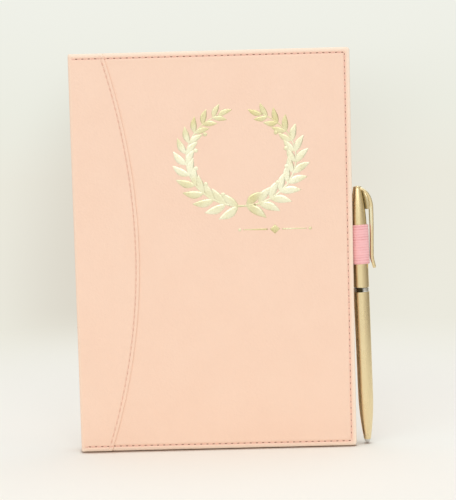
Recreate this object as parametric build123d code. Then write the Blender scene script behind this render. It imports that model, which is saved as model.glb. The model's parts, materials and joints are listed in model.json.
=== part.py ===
from build123d import *
from math import asin, cos, degrees, radians, sin, sqrt
import os

# Address book standing on its tail, with a pen in a loop at the fore-edge. Millimetres.
# X runs from the spine to the fore-edge, Y from the front cover to the back, Z from tail to head.

# Cover
cover_width = 150.5
cover_height = 216.0
corner_radius = 1.8
edge_round = 0.6
skin_thickness = 0.8
board_thickness = 1.7
turn_in_thickness = 0.35
turn_in_width = 13.0
lining_thickness = 0.25
page_inset = 3.0

# Spine
spine_board_thickness = 1.4
spine_round = 1.6
spine_lip = 1.8
spine_hollow = 1.3
fold_gap = 0.12
board_setback = 4.2

# Curved wings of the spine piece, lapped over the panels
wing_rise = 0.5
seam_end = 18.7
seam_middle = 35.0
lap_width = 5.0
lap_thickness = 0.4

# Stitching
edge_stitch_inset = 3.0
seam_stitch_inset = 2.0
stitch_pitch = 3.4
stitch_length = 2.5
stitch_width = 0.6
stitch_thickness = 0.3
groove_width = 1.0
groove_depth = 0.35

# Pages
section_names = ("ab", "cd", "ef", "gh", "ij", "kl", "mn", "op", "qr", "st", "uvw", "xyz")
section_thickness = 0.62
section_gap = 0.04
tab_width = 7.0

# Pen loop
loop_height = 109.6
loop_width = 21.0
loop_thickness = 0.7
loop_clearance = 0.2
loop_tail_length = 12.0

# Pen, measured along its own axis from the nose
pen_length = 141.0
pen_lean = 1.3
pen_offset = 3.95
pen_foot_gap = 0.2
barrel_radius = 4.3
grip_radius = 4.15
grip_height = 28.0
nose_length = 2.0
nose_tip_radius = 0.95
nose_joint_radius = 1.85
nose_spigot_radius = 1.3
nose_spigot_length = 3.5
nose_bore_radius = 0.7
ring_height = 83.6
ring_width = 2.2
ring_inset = 0.2
cap_top_radius = 2.3
cap_taper_height = 22.5

# Clip on the pen
clip_eye_thickness = 0.9
clip_bar_thickness = 1.8
clip_root_width = 4.4
clip_end_width = 3.4
clip_turn = 2.0
clip_shoulder_reach = 7.3
clip_shoulder_drop = 11.5
clip_waist_reach = 6.55
clip_waist_drop = 37.8
clip_end_reach = 7.67
clip_end_drop = 44.6
clip_web_drop = 12.4
clip_web_inset = 0.45
clip_web_gap = 0.3
stud_radius = 1.1
stud_dome = 0.3
stud_length = 8.0

# Twist mechanism and refill
running_gap = 0.3
barrel_wall = 0.55
neck_radius = 2.95
neck_wall = 0.6
neck_depth = 14.0
neck_headroom = 12.0
refill_radius = 1.15
nib_radius = 0.45
nib_cone_length = 3.4
nib_rest_height = 1.4
ball_radius = 0.35
refill_travel = 4.0
plunger_length = 14.0
plunger_grip = 5.0
plunger_headroom = 5.0

# Sizes that follow from the ones above
cover_thickness = skin_thickness + board_thickness + turn_in_thickness + lining_thickness
section_pitch = section_thickness + section_gap
block_thickness = len(section_names) * section_pitch + section_gap
half_thickness = cover_thickness + block_thickness / 2
spine_wall = skin_thickness + spine_board_thickness
page_start = spine_wall + spine_hollow
page_end = cover_width - page_inset
page_height = cover_height - 2 * page_inset
tab_height = page_height / len(section_names)
loop_radius = barrel_radius + loop_clearance
tail_face = half_thickness - cover_thickness + lining_thickness
tail_thickness = 2 * loop_thickness
pen_y = tail_face - loop_radius
loop_on_pen = (loop_height - pen_foot_gap) / cos(radians(pen_lean))
clip_side = clip_end_width / 2 * sin(radians(clip_turn))
clip_span = (clip_end_reach + clip_bar_thickness / 2) * cos(radians(clip_turn)) + clip_side
spine_x = -(cover_width + pen_offset + clip_span) / 2
fold_depth = skin_thickness / 2
cap_low = ring_height + ring_width + running_gap
cap_top = pen_length - clip_eye_thickness
cap_bore_radius = barrel_radius - barrel_wall
cap_shoulder = cap_top - cap_taper_height
clip_web_low = max(pen_length - clip_web_drop, loop_on_pen + loop_width / 2 + clip_web_gap)
sleeve_top = cap_shoulder
plunger_top = sleeve_top - plunger_headroom
plunger_low = plunger_top - plunger_length
refill_top = plunger_low + plunger_grip
nose_step = nose_length + nose_spigot_length / 2
nib_top = nose_step + refill_travel + running_gap + nib_cone_length
pen_place = (
    Pos(spine_x + cover_width + pen_offset, pen_y, loop_height)
    * Rot(0, -pen_lean, 0)
    * Pos(0, 0, -loop_on_pen)
)


def rectangle(left, low, right, high):
    """Rectangle from its left, lower, right and upper sides."""
    return Pos((left + right) / 2, (low + high) / 2) * Rectangle(right - left, high - low)


def slab(outline, outer, inner):
    """Outline drawn from the spine and tail, made solid between two depths below the front face."""
    plane = Plane(origin=(spine_x, outer - half_thickness, 0), x_dir=(1, 0, 0), z_dir=(0, -1, 0))
    return extrude(plane * outline, amount=inner - outer, dir=(0, 1, 0))


def to_back(front):
    """The same piece on the back cover."""
    return mirror(front, about=Plane.XZ)


def cover_outline(inset, left):
    """Cover drawn smaller at head, tail and fore-edge, with rounded corners at the fore-edge."""
    shape = rectangle(left, inset, cover_width - inset, cover_height - inset)
    corners = shape.vertices().group_by(Axis.X)[-1]
    return fillet(corners, max(corner_radius - inset, groove_width))


def wing_outline(setback):
    """Wing from the spine to its curved edge, or to a line set back from that edge."""
    end = seam_end - setback
    middle = seam_middle - setback
    curve = ThreePointArc((end, 0), (middle, cover_height / 2), (end, cover_height))
    sides = Polyline((end, cover_height), (0, cover_height), (0, 0), (end, 0))
    return make_face(curve + sides)


def edge_groove():
    """Channel round head, fore-edge and tail that the edge stitches lie in."""
    outer = cover_outline(edge_stitch_inset - groove_width / 2, 0)
    inner = cover_outline(edge_stitch_inset + groove_width / 2, 0)
    return outer - inner


def seam_groove():
    """Channel beside the wing's curved edge that the seam stitches lie in."""
    return wing_outline(seam_stitch_inset - groove_width / 2) - wing_outline(
        seam_stitch_inset + groove_width / 2
    )


# Depths below the front face where the layers of a cover meet
board_face = skin_thickness
board_back = board_face + board_thickness
skin_back = board_back + turn_in_thickness
lap_face = skin_thickness - lap_thickness


def make_board():
    """Stiff board, thinner round its rim where the skin is turned in."""
    rim = slab(cover_outline(skin_thickness, board_setback), board_face, board_back)
    window = rectangle(
        board_setback,
        turn_in_width,
        cover_width - turn_in_width,
        cover_height - turn_in_width,
    )
    return rim + slab(window, board_back, skin_back)


def make_panel(board):
    """Main skin of a cover, turned in round the board, with a thin lap under the wing."""
    block = slab(cover_outline(0, 0), 0, skin_back)
    outer_rim = block.faces().sort_by(Axis.Y)[0].edges().sort_by(Axis.X)[1:]
    inner_rim = block.faces().sort_by(Axis.Y)[-1].edges().sort_by(Axis.X)[1:]
    block = fillet(outer_rim + inner_rim, edge_round)
    block -= slab(wing_outline(0), -wing_rise, skin_back)
    lap = wing_outline(0) - wing_outline(lap_width)
    lap &= cover_outline(skin_thickness, 0)
    block += slab(lap, lap_face, board_face)
    return block - board - slab(edge_groove(), 0, groove_depth)


def make_wing(board):
    """Part of the spine piece on a cover, from the fold at the spine to its curved edge."""
    block = slab(wing_outline(0), -wing_rise, skin_back)
    corner = block.edges().filter_by(Axis.Z).group_by(Axis.Y)[0].sort_by(Axis.X)[0]
    block = fillet(corner, spine_round)
    ends = block.faces().sort_by(Axis.Y)[0].edges().filter_by(Axis.X)
    block = fillet(ends, edge_round)
    under_fold = rectangle(skin_thickness, 0, board_setback, cover_height)
    past_lip = rectangle(0, 0, board_setback, cover_height)
    lap = wing_outline(0) - wing_outline(lap_width)
    lap &= cover_outline(skin_thickness, 0)
    block -= slab(under_fold, board_face, skin_back)
    block -= slab(past_lip, spine_lip, skin_back)
    block -= board
    block -= slab(lap, lap_face, board_face)
    channel = edge_groove() + seam_groove()
    return block - slab(channel, -wing_rise, groove_depth - wing_rise)


def make_lining():
    """Paper pasted inside a cover, set in from the edges as the pages are."""
    area = rectangle(board_setback, page_inset, page_end, cover_height - page_inset)
    return slab(area, skin_back, cover_thickness)


def stitch(along, up, depth, turn):
    """One flat stitch, its middle at a place on the cover, turned from upright."""
    place = Pos(spine_x + along, depth - half_thickness, up)
    return place * Rot(0, turn, 0) * Box(stitch_width, stitch_thickness, stitch_length)


def seam_line(up):
    """How far the seam's stitches are from the spine at a height, and their turn there."""
    bow = seam_middle - seam_end
    radius = ((cover_height / 2) ** 2 + bow**2) / (2 * bow)
    rise = up - cover_height / 2
    along = seam_middle - seam_stitch_inset - radius + sqrt(radius**2 - rise**2)
    return along, -degrees(asin(rise / radius))


def spread(low, high):
    """Middles of evenly spaced stitches between two ends."""
    count = round((high - low) / stitch_pitch)
    step = (high - low) / count
    return [low + step * (i + 0.5) for i in range(count)]


def make_edge_stitches():
    """Stitches along the tail, fore-edge and head, at the bottom of their channel."""
    on_panel = groove_depth - stitch_thickness / 2
    on_wing = on_panel - wing_rise
    turning = edge_stitch_inset + groove_width
    made = []
    for up in (edge_stitch_inset, cover_height - edge_stitch_inset):
        seam = seam_line(up)[0] + seam_stitch_inset
        for along in spread(spine_round, seam - seam_stitch_inset - groove_width):
            made.append(stitch(along, up, on_wing, 90))
        for along in spread(seam + groove_width, cover_width - turning):
            made.append(stitch(along, up, on_panel, 90))
    for up in spread(turning, cover_height - turning):
        made.append(stitch(cover_width - edge_stitch_inset, up, on_panel, 0))
    return Compound(children=made)


def make_seam_stitches():
    """Stitches beside the curved edge of the wing, between the two edge rows."""
    depth = groove_depth - wing_rise - stitch_thickness / 2
    low = edge_stitch_inset + groove_width
    made = []
    for up in spread(low, cover_height - low):
        along, turn = seam_line(up)
        made.append(stitch(along, up, depth, turn))
    return Compound(children=made)


def make_section(index):
    """One index section, its fore-edge stepped back below its own tab."""
    outer = half_thickness * 2 - cover_thickness - block_thickness
    outer += section_gap + index * section_pitch
    head = cover_height - page_inset
    leaf = rectangle(page_start, page_inset, page_end, head)
    step = head - (index + 1) * tab_height
    if index < len(section_names) - 1:
        leaf -= rectangle(page_end - tab_width, page_inset, page_end, step)
    return slab(leaf, outer, outer + section_thickness)


def turned(*outline):
    """Solid of revolution about the pen's axis from an outline of radius against height."""
    return revolve(Plane.XZ * make_face(outline), Axis.Z)


def rod(radius, low, high):
    """Cylinder on the pen's axis between two heights."""
    return Pos(0, 0, (low + high) / 2) * Cylinder(radius, high - low)


def make_lower_barrel():
    """Barrel from the nose to the ring, hollow for the refill and the neck."""
    nose = (nose_joint_radius, nose_length)
    grip = (grip_radius, grip_height)
    top = (barrel_radius, ring_height)
    body = turned(
        Line((0, nose_length), nose),
        TangentArc(grip, nose, tangent=(0, -1)),
        Line(grip, top),
        Line(top, (0, ring_height)),
        Line((0, ring_height), (0, nose_length)),
    )
    body -= rod(nose_spigot_radius, nose_length, nose_length + nose_spigot_length)
    body -= rod(refill_radius + running_gap, nose_length + nose_spigot_length, ring_height)
    return body - rod(neck_radius, ring_height - neck_depth, ring_height)


def make_nose_tip():
    """Metal tip with a spigot set into the lower barrel, bored for the nib."""
    tip = turned(
        Polyline(
            (0, 0),
            (nose_tip_radius, 0),
            (nose_joint_radius, nose_length),
            (nose_spigot_radius, nose_length),
            (nose_spigot_radius, nose_length + nose_spigot_length),
            (0, nose_length + nose_spigot_length),
            (0, 0),
        )
    )
    tip -= rod(nose_bore_radius, 0, nose_length + nose_spigot_length)
    wide = nib_radius + running_gap + running_gap
    return tip - rod(wide, nose_step, nose_length + nose_spigot_length)


def make_centre_ring():
    """Bright ring between the two barrels, on the neck."""
    ring = rod(barrel_radius - ring_inset, ring_height, ring_height + ring_width)
    return ring - rod(neck_radius, ring_height, ring_height + ring_width)


def make_neck():
    """Tube set into the lower barrel that stands up into the sleeve."""
    low = ring_height - neck_depth
    high = sleeve_top - neck_headroom
    return rod(neck_radius, low, high) - rod(neck_radius - neck_wall, low, high)


def cap_shape(margin=0.0):
    """Outside of the upper barrel, with a rounded taper to a flat top, grown by a margin all round."""
    shoulder = (barrel_radius + margin, cap_shoulder)
    top = (cap_top_radius + margin, cap_top)
    return turned(
        Line((0, cap_low), (barrel_radius + margin, cap_low)),
        Line((barrel_radius + margin, cap_low), shoulder),
        TangentArc(shoulder, top, tangent=(0, 1)),
        Line(top, (0, cap_top)),
        Line((0, cap_top), (0, cap_low)),
    )


def make_upper_barrel():
    """Upper barrel, bored for the sleeve and for the stud that holds the clip."""
    body = cap_shape() - rod(cap_bore_radius, cap_low, sleeve_top)
    return body - rod(stud_radius, sleeve_top, cap_top)


def make_sleeve():
    """Tube set into the upper barrel that the neck turns in."""
    tube = rod(cap_bore_radius, cap_low, sleeve_top)
    return tube - rod(neck_radius + running_gap, cap_low, sleeve_top)


def make_clip():
    """Spring clip: an eye on the flat top, an arch with a web under it, and a strip down the barrel."""
    arch_top = pen_length - clip_bar_thickness / 2
    shoulder = (clip_shoulder_reach, pen_length - clip_shoulder_drop)
    waist = (clip_waist_reach, pen_length - clip_waist_drop)
    end = (clip_end_reach, pen_length - clip_end_drop)
    arch = EllipticalCenterArc(
        (0, shoulder[1]), shoulder[0], arch_top - shoulder[1], start_angle=0, arc_size=90
    )
    straight = (waist[0] - shoulder[0], waist[1] - shoulder[1])
    flare = (end[0] - waist[0], end[1] - waist[1])
    run = Spline(shoulder, waist, end, tangents=((0, -1), straight, flare))
    strip = trace(arch + run, line_width=clip_bar_thickness)
    clip = extrude(Plane.XZ * strip, amount=clip_root_width / 2, both=True)
    low = pen_length - clip_end_drop - clip_root_width
    taper = make_face(
        Polyline(
            (-clip_end_width / 2, low),
            (clip_end_width / 2, low),
            (clip_root_width / 2, pen_length),
            (-clip_root_width / 2, pen_length),
            (-clip_end_width / 2, low),
        )
    )
    reach = clip_end_reach + clip_root_width
    clip &= extrude(Plane.YZ * taper, amount=reach)
    clip += make_clip_web(arch, shoulder, arch_top)
    clip += rod(cap_top_radius, cap_top, pen_length)
    clip -= cap_shape()
    clip -= rod(stud_radius, cap_top, pen_length + clip_eye_thickness)
    return Rot(0, 0, clip_turn) * clip


def make_clip_web(arch, shoulder, arch_top):
    """Fills the hollow of the clip's arch, narrower than the strip and clear of the barrel."""
    middle = (0, shoulder[1])
    hollow = make_face([arch, Line((0, arch_top), middle), Line(middle, shoulder)])
    web = extrude(Plane.XZ * hollow, amount=clip_root_width / 2 - clip_web_inset, both=True)
    web &= rod(clip_shoulder_reach, clip_web_low, pen_length)
    return web - cap_shape(clip_web_gap)


def make_stud():
    """Stud through the clip's eye into the top of the upper barrel."""
    low = pen_length - stud_length
    dome = Pos(0, 0, pen_length) * Cylinder(stud_radius, 2 * stud_dome)
    dome = fillet(dome.edges().group_by(Axis.Z)[-1], stud_dome * 0.9)
    return rod(stud_radius, low, pen_length) + dome


def make_nib():
    """Metal nib: a narrow neck, then a collar set into the refill tube."""
    neck_low = nib_rest_height + ball_radius
    cone = nib_top - nib_cone_length
    nib = turned(
        Polyline(
            (0, neck_low),
            (ball_radius, neck_low),
            (nib_radius, neck_low + 2 * ball_radius),
            (nib_radius, cone),
            (refill_radius, nib_top),
            (0, nib_top),
            (0, neck_low),
        )
    )
    return nib - Pos(0, 0, neck_low) * Sphere(ball_radius)


def make_plunger():
    """Plunger that holds the refill's upper end and runs inside the neck."""
    block = rod(neck_radius - neck_wall - running_gap, plunger_low, plunger_top)
    return block - rod(refill_radius, plunger_low, refill_top)


def make_loop():
    """Elastic band round the pen, its two tails laid together into the back cover."""
    low = loop_on_pen - loop_width / 2
    high = loop_on_pen + loop_width / 2
    band = pen_place * rod(loop_radius + loop_thickness, low, high)
    tails = make_tails(pen_offset)
    return band + tails - pen_place * rod(loop_radius, low - loop_width, high + loop_width)


def make_tails(reach):
    """Both tails of the loop side by side, reaching past the fore-edge."""
    length = loop_tail_length + reach
    middle_x = spine_x + cover_width + (reach - loop_tail_length) / 2
    place = Pos(middle_x, tail_face + tail_thickness / 2, loop_height)
    return place * Box(length, tail_thickness, loop_width)


# Covers and spine
front_board = make_board()
front_panel = make_panel(front_board)
front_wing = make_wing(front_board)
front_lining = make_lining()
front_edge_stitches = make_edge_stitches()
front_seam_stitches = make_seam_stitches()

tails = make_tails(pen_offset)
back_board = to_back(front_board) - tails
back_panel = to_back(front_panel) - tails
back_wing = to_back(front_wing)
back_lining = to_back(front_lining)
back_edge_stitches = to_back(front_edge_stitches)
back_seam_stitches = to_back(front_seam_stitches)

spine_low = spine_lip + fold_gap
spine_high = 2 * half_thickness - spine_low


def spine_box(left, right, inset):
    """Upright slab of the spine between two distances from its outer face."""
    return slab(rectangle(left, inset, right, cover_height - inset), spine_low, spine_high)


spine_board = spine_box(skin_thickness, spine_wall, skin_thickness)
spine_wrap = spine_box(0, spine_wall, 0) - spine_board

pen_loop = make_loop()

# Pen pieces, stood in the loop
pen_pieces = {
    "lower_barrel": make_lower_barrel(),
    "nose_tip": make_nose_tip(),
    "centre_ring": make_centre_ring(),
    "twist_neck": make_neck(),
    "upper_barrel": make_upper_barrel(),
    "twist_sleeve": make_sleeve(),
    "clip": make_clip(),
    "clip_stud": make_stud(),
    "refill_nib": make_nib(),
    "refill_ball": Pos(0, 0, nib_rest_height + ball_radius) * Sphere(ball_radius),
    "refill_tube": rod(refill_radius, nib_top, refill_top),
    "refill_plunger": make_plunger(),
}

pieces = {
    "front_board": front_board,
    "front_panel": front_panel,
    "front_wing": front_wing,
    "front_lining": front_lining,
    "front_edge_stitches": front_edge_stitches,
    "front_seam_stitches": front_seam_stitches,
    "spine_board": spine_board,
    "spine_wrap": spine_wrap,
    "back_board": back_board,
    "back_panel": back_panel,
    "back_wing": back_wing,
    "back_lining": back_lining,
    "back_edge_stitches": back_edge_stitches,
    "back_seam_stitches": back_seam_stitches,
    "pen_loop": pen_loop,
}
for index, name in enumerate(section_names):
    pieces["pages_" + name] = make_section(index)
for name, piece in pen_pieces.items():
    pieces["pen_" + name] = pen_place * piece

os.makedirs("parts", exist_ok=True)
for name, piece in pieces.items():
    export_step(piece, "parts/" + name + ".step")
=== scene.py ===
# %% [markdown]
# # An address book with a pen in an elastic loop
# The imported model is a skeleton: stiff boards, page sections and pen barrels in their true places.
# This lesson dresses it with soft leather, thread, foil, paper and satin metal.
# Everything is worked out in millimetres and put into the meshes in metres.

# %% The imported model
import json

import bmesh
import bpy
import numpy as np
from mathutils import Matrix, Vector


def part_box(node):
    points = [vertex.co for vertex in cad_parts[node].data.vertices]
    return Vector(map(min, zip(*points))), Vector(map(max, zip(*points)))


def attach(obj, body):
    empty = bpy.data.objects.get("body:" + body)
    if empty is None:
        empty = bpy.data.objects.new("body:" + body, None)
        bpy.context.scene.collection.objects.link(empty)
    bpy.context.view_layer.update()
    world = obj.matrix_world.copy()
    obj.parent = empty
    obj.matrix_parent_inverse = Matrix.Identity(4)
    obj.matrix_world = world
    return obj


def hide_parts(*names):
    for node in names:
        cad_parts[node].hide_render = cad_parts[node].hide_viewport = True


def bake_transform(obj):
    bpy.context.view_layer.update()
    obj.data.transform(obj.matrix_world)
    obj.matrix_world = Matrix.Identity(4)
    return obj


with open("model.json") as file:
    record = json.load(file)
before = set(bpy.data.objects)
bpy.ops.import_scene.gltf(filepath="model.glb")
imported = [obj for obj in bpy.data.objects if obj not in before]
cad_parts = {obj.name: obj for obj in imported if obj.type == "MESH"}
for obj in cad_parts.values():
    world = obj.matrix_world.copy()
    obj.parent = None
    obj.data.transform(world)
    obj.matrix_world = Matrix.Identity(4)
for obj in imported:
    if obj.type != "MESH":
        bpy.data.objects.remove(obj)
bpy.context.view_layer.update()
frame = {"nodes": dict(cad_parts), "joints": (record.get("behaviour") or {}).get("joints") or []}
scene = bpy.context.scene
MM = 0.001

# %% [markdown]
# ## Camera
# The photograph looks at the front cover from a little above, with the camera tipped by a degree and a half.
# A camera could be aimed with a constraint, but its three axes worked out from pitch, yaw and roll are exact.

# %% Camera
image_height = 500
focal_pixels = 1475.5
pitch, yaw, roll = np.radians([5.327, -0.73, -1.52])
eye = np.array([11.56, -799.8, 182.9]) * MM
forward = np.array([np.sin(yaw) * np.cos(pitch), np.cos(yaw) * np.cos(pitch), -np.sin(pitch)])
level = np.array([np.cos(yaw), -np.sin(yaw), 0.0])
upright = np.cross(level, forward)
rightward = level * np.cos(roll) + upright * np.sin(roll)
upward = upright * np.cos(roll) - level * np.sin(roll)

camera_data = bpy.data.cameras.new("camera")
camera_data.sensor_width = 36.0
camera_data.lens = focal_pixels * camera_data.sensor_width / image_height
camera = bpy.data.objects.new("camera", camera_data)
placing = np.eye(4)
placing[:3] = np.stack([rightward, upward, -forward, eye], axis=1)
camera.matrix_world = Matrix(placing.tolist())
scene.collection.objects.link(camera)
scene.camera = camera
print("camera lens", round(camera_data.lens, 2), "mm")

# %% [markdown]
# ## Grids into meshes
# Nearly every piece here is a surface with two directions, such as across and along.
# Points in rows and columns need only one rule for their faces, so a whole piece is a few array sums.


# %% Grids into meshes
def stacked(*columns):
    """Columns spread to one shape and put side by side, as the coordinates of points."""
    return np.stack(np.broadcast_arrays(*columns), -1)


def full_turn(sides):
    """Evenly spaced angles once round."""
    return np.linspace(0.0, 2 * np.pi, sides, endpoint=False)


def grid_faces(rows, columns, ring_rows=False, ring_columns=False):
    """Quads of a grid, each of (r, c), (r, c+1), (r+1, c+1) and (r+1, c).
    A ring joins its last row or column to its first."""
    r = np.arange(rows if ring_rows else rows - 1)[:, None]
    c = np.arange(columns if ring_columns else columns - 1)[None, :]
    r2 = (r + 1) % rows
    c2 = (c + 1) % columns
    corners = (r * columns + c, r * columns + c2, r2 * columns + c2, r2 * columns + c)
    return stacked(*corners).reshape(-1, 4)


# %% Pieces
def make_piece(name, points, faces, uv=None, marks=None):
    """A smooth mesh object from points in millimetres and faces, with its own UV map and point attributes."""
    mesh = bpy.data.meshes.new(name)
    mesh.from_pydata((np.asarray(points, float).reshape(-1, 3) * MM).tolist(), [], np.asarray(faces).tolist())
    mesh.polygons.foreach_set("use_smooth", np.ones(len(mesh.polygons), bool))
    if uv is not None:
        corner = np.empty(len(mesh.loops), np.int32)
        mesh.loops.foreach_get("vertex_index", corner)
        layer = mesh.uv_layers.new(name="lay")
        layer.data.foreach_set("uv", np.asarray(uv, np.float32).reshape(-1, 2)[corner].ravel())
    for label, values in (marks or {}).items():
        values_of = mesh.attributes.new(label, "FLOAT", "POINT")
        values_of.data.foreach_set("value", np.asarray(values, np.float32).ravel())
    made = bpy.data.objects.new(name, mesh)
    scene.collection.objects.link(made)
    return made


def close_seams(piece, outward=True):
    """Points that fall together become one, and faces with no area go.
    The faces of a closed shell can be turned outwards too."""
    shell = bmesh.new()
    shell.from_mesh(piece.data)
    bmesh.ops.remove_doubles(shell, verts=shell.verts, dist=1e-6)
    bmesh.ops.dissolve_degenerate(shell, edges=shell.edges, dist=1e-7)
    if outward:
        bmesh.ops.recalc_face_normals(shell, faces=shell.faces)
    shell.to_mesh(piece.data)
    shell.free()
    return piece


# %% [markdown]
# ## Node trees
# A finish is a handful of texture nodes in front of one Principled shader.
# One function adds a node, sets plain values on its sockets and links whatever is a socket already.
# A few more stand for the nodes that come up again and again.


# %% Node trees
def fill_socket(tree, socket, value):
    """Links a socket to another one, or sets it to a plain value."""
    if isinstance(value, bpy.types.NodeSocket):
        tree.links.new(value, socket)
    else:
        socket.default_value = value


def add_node(tree, kind, inputs=None, **settings):
    """A shader node: settings are its switches, and inputs are values for its sockets or sockets to link."""
    node = tree.nodes.new("ShaderNode" + kind)
    for key, value in settings.items():
        setattr(node, key, value)
    for key, value in (inputs or {}).items():
        fill_socket(tree, node.inputs[key], value)
    return node


# %% Nodes that come up again
def mixed(tree, share, first, second, blend="MIX"):
    """A colour between two others by a share."""
    node = add_node(tree, "Mix", {0: share, 6: first, 7: second}, data_type="RGBA", blend_type=blend)
    return node.outputs[2]


def sums(tree, operation, *values):
    """One Math node on values or sockets."""
    node = add_node(tree, "Math", dict(enumerate(values)), operation=operation)
    return node.outputs[0]


def product(tree, first, *others):
    """Values or sockets multiplied one after the other."""
    for other in others:
        first = sums(tree, "MULTIPLY", first, other)
    return first


def between(tree, value, start, end, low=0.0, high=1.0):
    """A value carried smoothly from one range to another and held at its ends."""
    limits = {"Value": value, "From Min": start, "From Max": end, "To Min": low, "To Max": high}
    return add_node(tree, "MapRange", limits, interpolation_type="SMOOTHSTEP").outputs[0]


def object_place(tree):
    """The place of a point in the book's own frame."""
    return add_node(tree, "TexCoord").outputs["Object"]


def noise(tree, place, scale, detail=2.0, roughness=0.5):
    """A cloudy value about one half."""
    inputs = {"Vector": place, "Scale": scale, "Detail": detail, "Roughness": roughness}
    return add_node(tree, "TexNoise", inputs).outputs["Fac"]


def mark(tree, label):
    """A value that the mesh carries at its points."""
    return add_node(tree, "Attribute", attribute_name=label).outputs["Fac"]


# %% Finishes
def new_finish(name, **plain):
    """A material with a Principled shader and plain values on its sockets. Underscores stand for spaces."""
    finish = bpy.data.materials.new(name)
    finish.use_nodes = True
    tree = finish.node_tree
    tree.nodes.clear()
    shader = add_node(tree, "BsdfPrincipled", {key.replace("_", " "): value for key, value in plain.items()})
    add_node(tree, "OutputMaterial", {"Surface": shader.outputs[0]})
    return finish, tree, shader


def wire(tree, shader, colour, roughness=None, height=None, strength=1.0, distance=0.1 * MM):
    """Links a colour, and where given a roughness and a height for bumps, to a Principled shader."""
    tree.links.new(colour, shader.inputs["Base Color"])
    if roughness is not None:
        tree.links.new(roughness, shader.inputs["Roughness"])
    if height is not None:
        bump = add_node(tree, "Bump", {"Height": height, "Strength": strength, "Distance": distance})
        tree.links.new(bump.outputs[0], shader.inputs["Normal"])


# %% [markdown]
# ## Sweep and light
# The book stands on a pale sweep of paper: a bowl turned round the upright axis, the same from every side.
# Near the book it is matt paper that keeps the shadow. Farther out, camera and mirror rays see a set tone.
# Where something stands on it, a narrow line of painted contact shadow darkens the paper, as far as that
# thing hides the sky.
# It throws a little less light up at the cover than the eye sees of it.
# Behind the book, mostly to its left, the paper carries a soft painted shadow, as the book would cast on a
# wall close behind.
# The sky lights evenly. Large lamps in front, at the left and above give the edges and the metal their shine.
# Metal without anything dark to mirror looks like plastic, so a card, paler in front, stands at the right.
# Only mirror rays meet it.

# %% Sweep
sweep_flat, sweep_bend, sweep_top, sweep_drop = 0.9, 0.9, 2.6, 0.0003
sweep_sides = 96
flat_radius = np.linspace(0.0, sweep_flat, 10)[:-1]
bend = np.linspace(0.0, np.pi / 2, 17)
sweep_rim = sweep_flat + sweep_bend
sweep_radius = np.concatenate([flat_radius, sweep_flat + sweep_bend * np.sin(bend), [sweep_rim]])
sweep_height = np.concatenate([0 * flat_radius, sweep_bend * (1 - np.cos(bend)), [sweep_top]]) - sweep_drop
around = full_turn(sweep_sides)
sweep_x, sweep_y = sweep_radius[:, None] * np.cos(around), sweep_radius[:, None] * np.sin(around)
sweep_points = stacked(sweep_x, sweep_y, sweep_height[:, None]) / MM
sweep_faces = grid_faces(len(sweep_radius), sweep_sides, ring_columns=True)
sweep = close_seams(make_piece("sweep", sweep_points, sweep_faces), outward=False)

# %% Tones of the sweep
matt_reach, tone_reach = 0.16, 0.5
# The set tones are painted light and shade of a lit sweep: pale near the book, darker farther out, paler
# again high up.
tone_stops = (
    (0.08, (0.915, 0.895, 0.815, 1.0)),
    (0.13, (0.87, 0.855, 0.77, 1.0)),
    (0.20, (0.838, 0.822, 0.73, 1.0)),
    (0.50, (0.833, 0.815, 0.722, 1.0)),
    (0.565, (0.84, 0.845, 0.76, 1.0)),
    (0.64, (0.87, 0.878, 0.81, 1.0)),
    (0.90, (0.93, 0.945, 0.89, 1.0)),
)
painted_wall_shadow_tone = (0.87, 0.845, 0.83, 1.0)
paper_sweep = bpy.data.materials.new("paper_sweep")
paper_sweep.use_nodes = True
tree = paper_sweep.node_tree
tree.nodes.clear()
from_book = add_node(tree, "VectorMath", {0: object_place(tree)}, operation="LENGTH").outputs["Value"]
far = between(tree, from_book, matt_reach, tone_reach)
sweep_tones = add_node(tree, "ValToRGB", {0: sums(tree, "DIVIDE", from_book, sweep_top)})
stops = sweep_tones.color_ramp.elements
stops[0].position = tone_stops[0][0]
stops[1].position = tone_stops[-1][0]
for position, _ in tone_stops[1:-1]:
    stops.new(position)
for stop, (_, tone) in zip(stops, tone_stops):
    stop.color = tone

# Painted shadow of the book on the sweep: a soft fan behind it, strongest at its left, fading upwards and
# near the book.
spot = add_node(tree, "SeparateXYZ", {0: object_place(tree)})
sideways, depthways, upwards = (spot.outputs[axis] for axis in "XYZ")
fan = sums(tree, "DIVIDE", sideways, sums(tree, "ADD", depthways, 0.8))
fan = sums(tree, "MULTIPLY_ADD", sums(tree, "SUBTRACT", upwards, 0.1), -0.15, fan)
shade = product(
    tree,
    between(tree, fan, -0.165, -0.09),
    between(tree, fan, -0.02, 0.15, 1.0, 0.0),
    between(tree, upwards, 0.15, 0.30, 1.0, 0.0),
    between(tree, from_book, 0.25, 0.65),
    sums(tree, "GREATER_THAN", depthways, 0.0),
)
backdrop = mixed(tree, shade, sweep_tones.outputs[0], painted_wall_shadow_tone, "MULTIPLY")

# %% Paper of the sweep
paper_seen, paper_thrown = (0.925, 0.918, 0.872, 1.0), (0.885, 0.872, 0.825, 1.0)
painted_foot_shadow_tone = (0.40, 0.27, 0.20, 1.0)
foot_reach = 5 * MM
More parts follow.
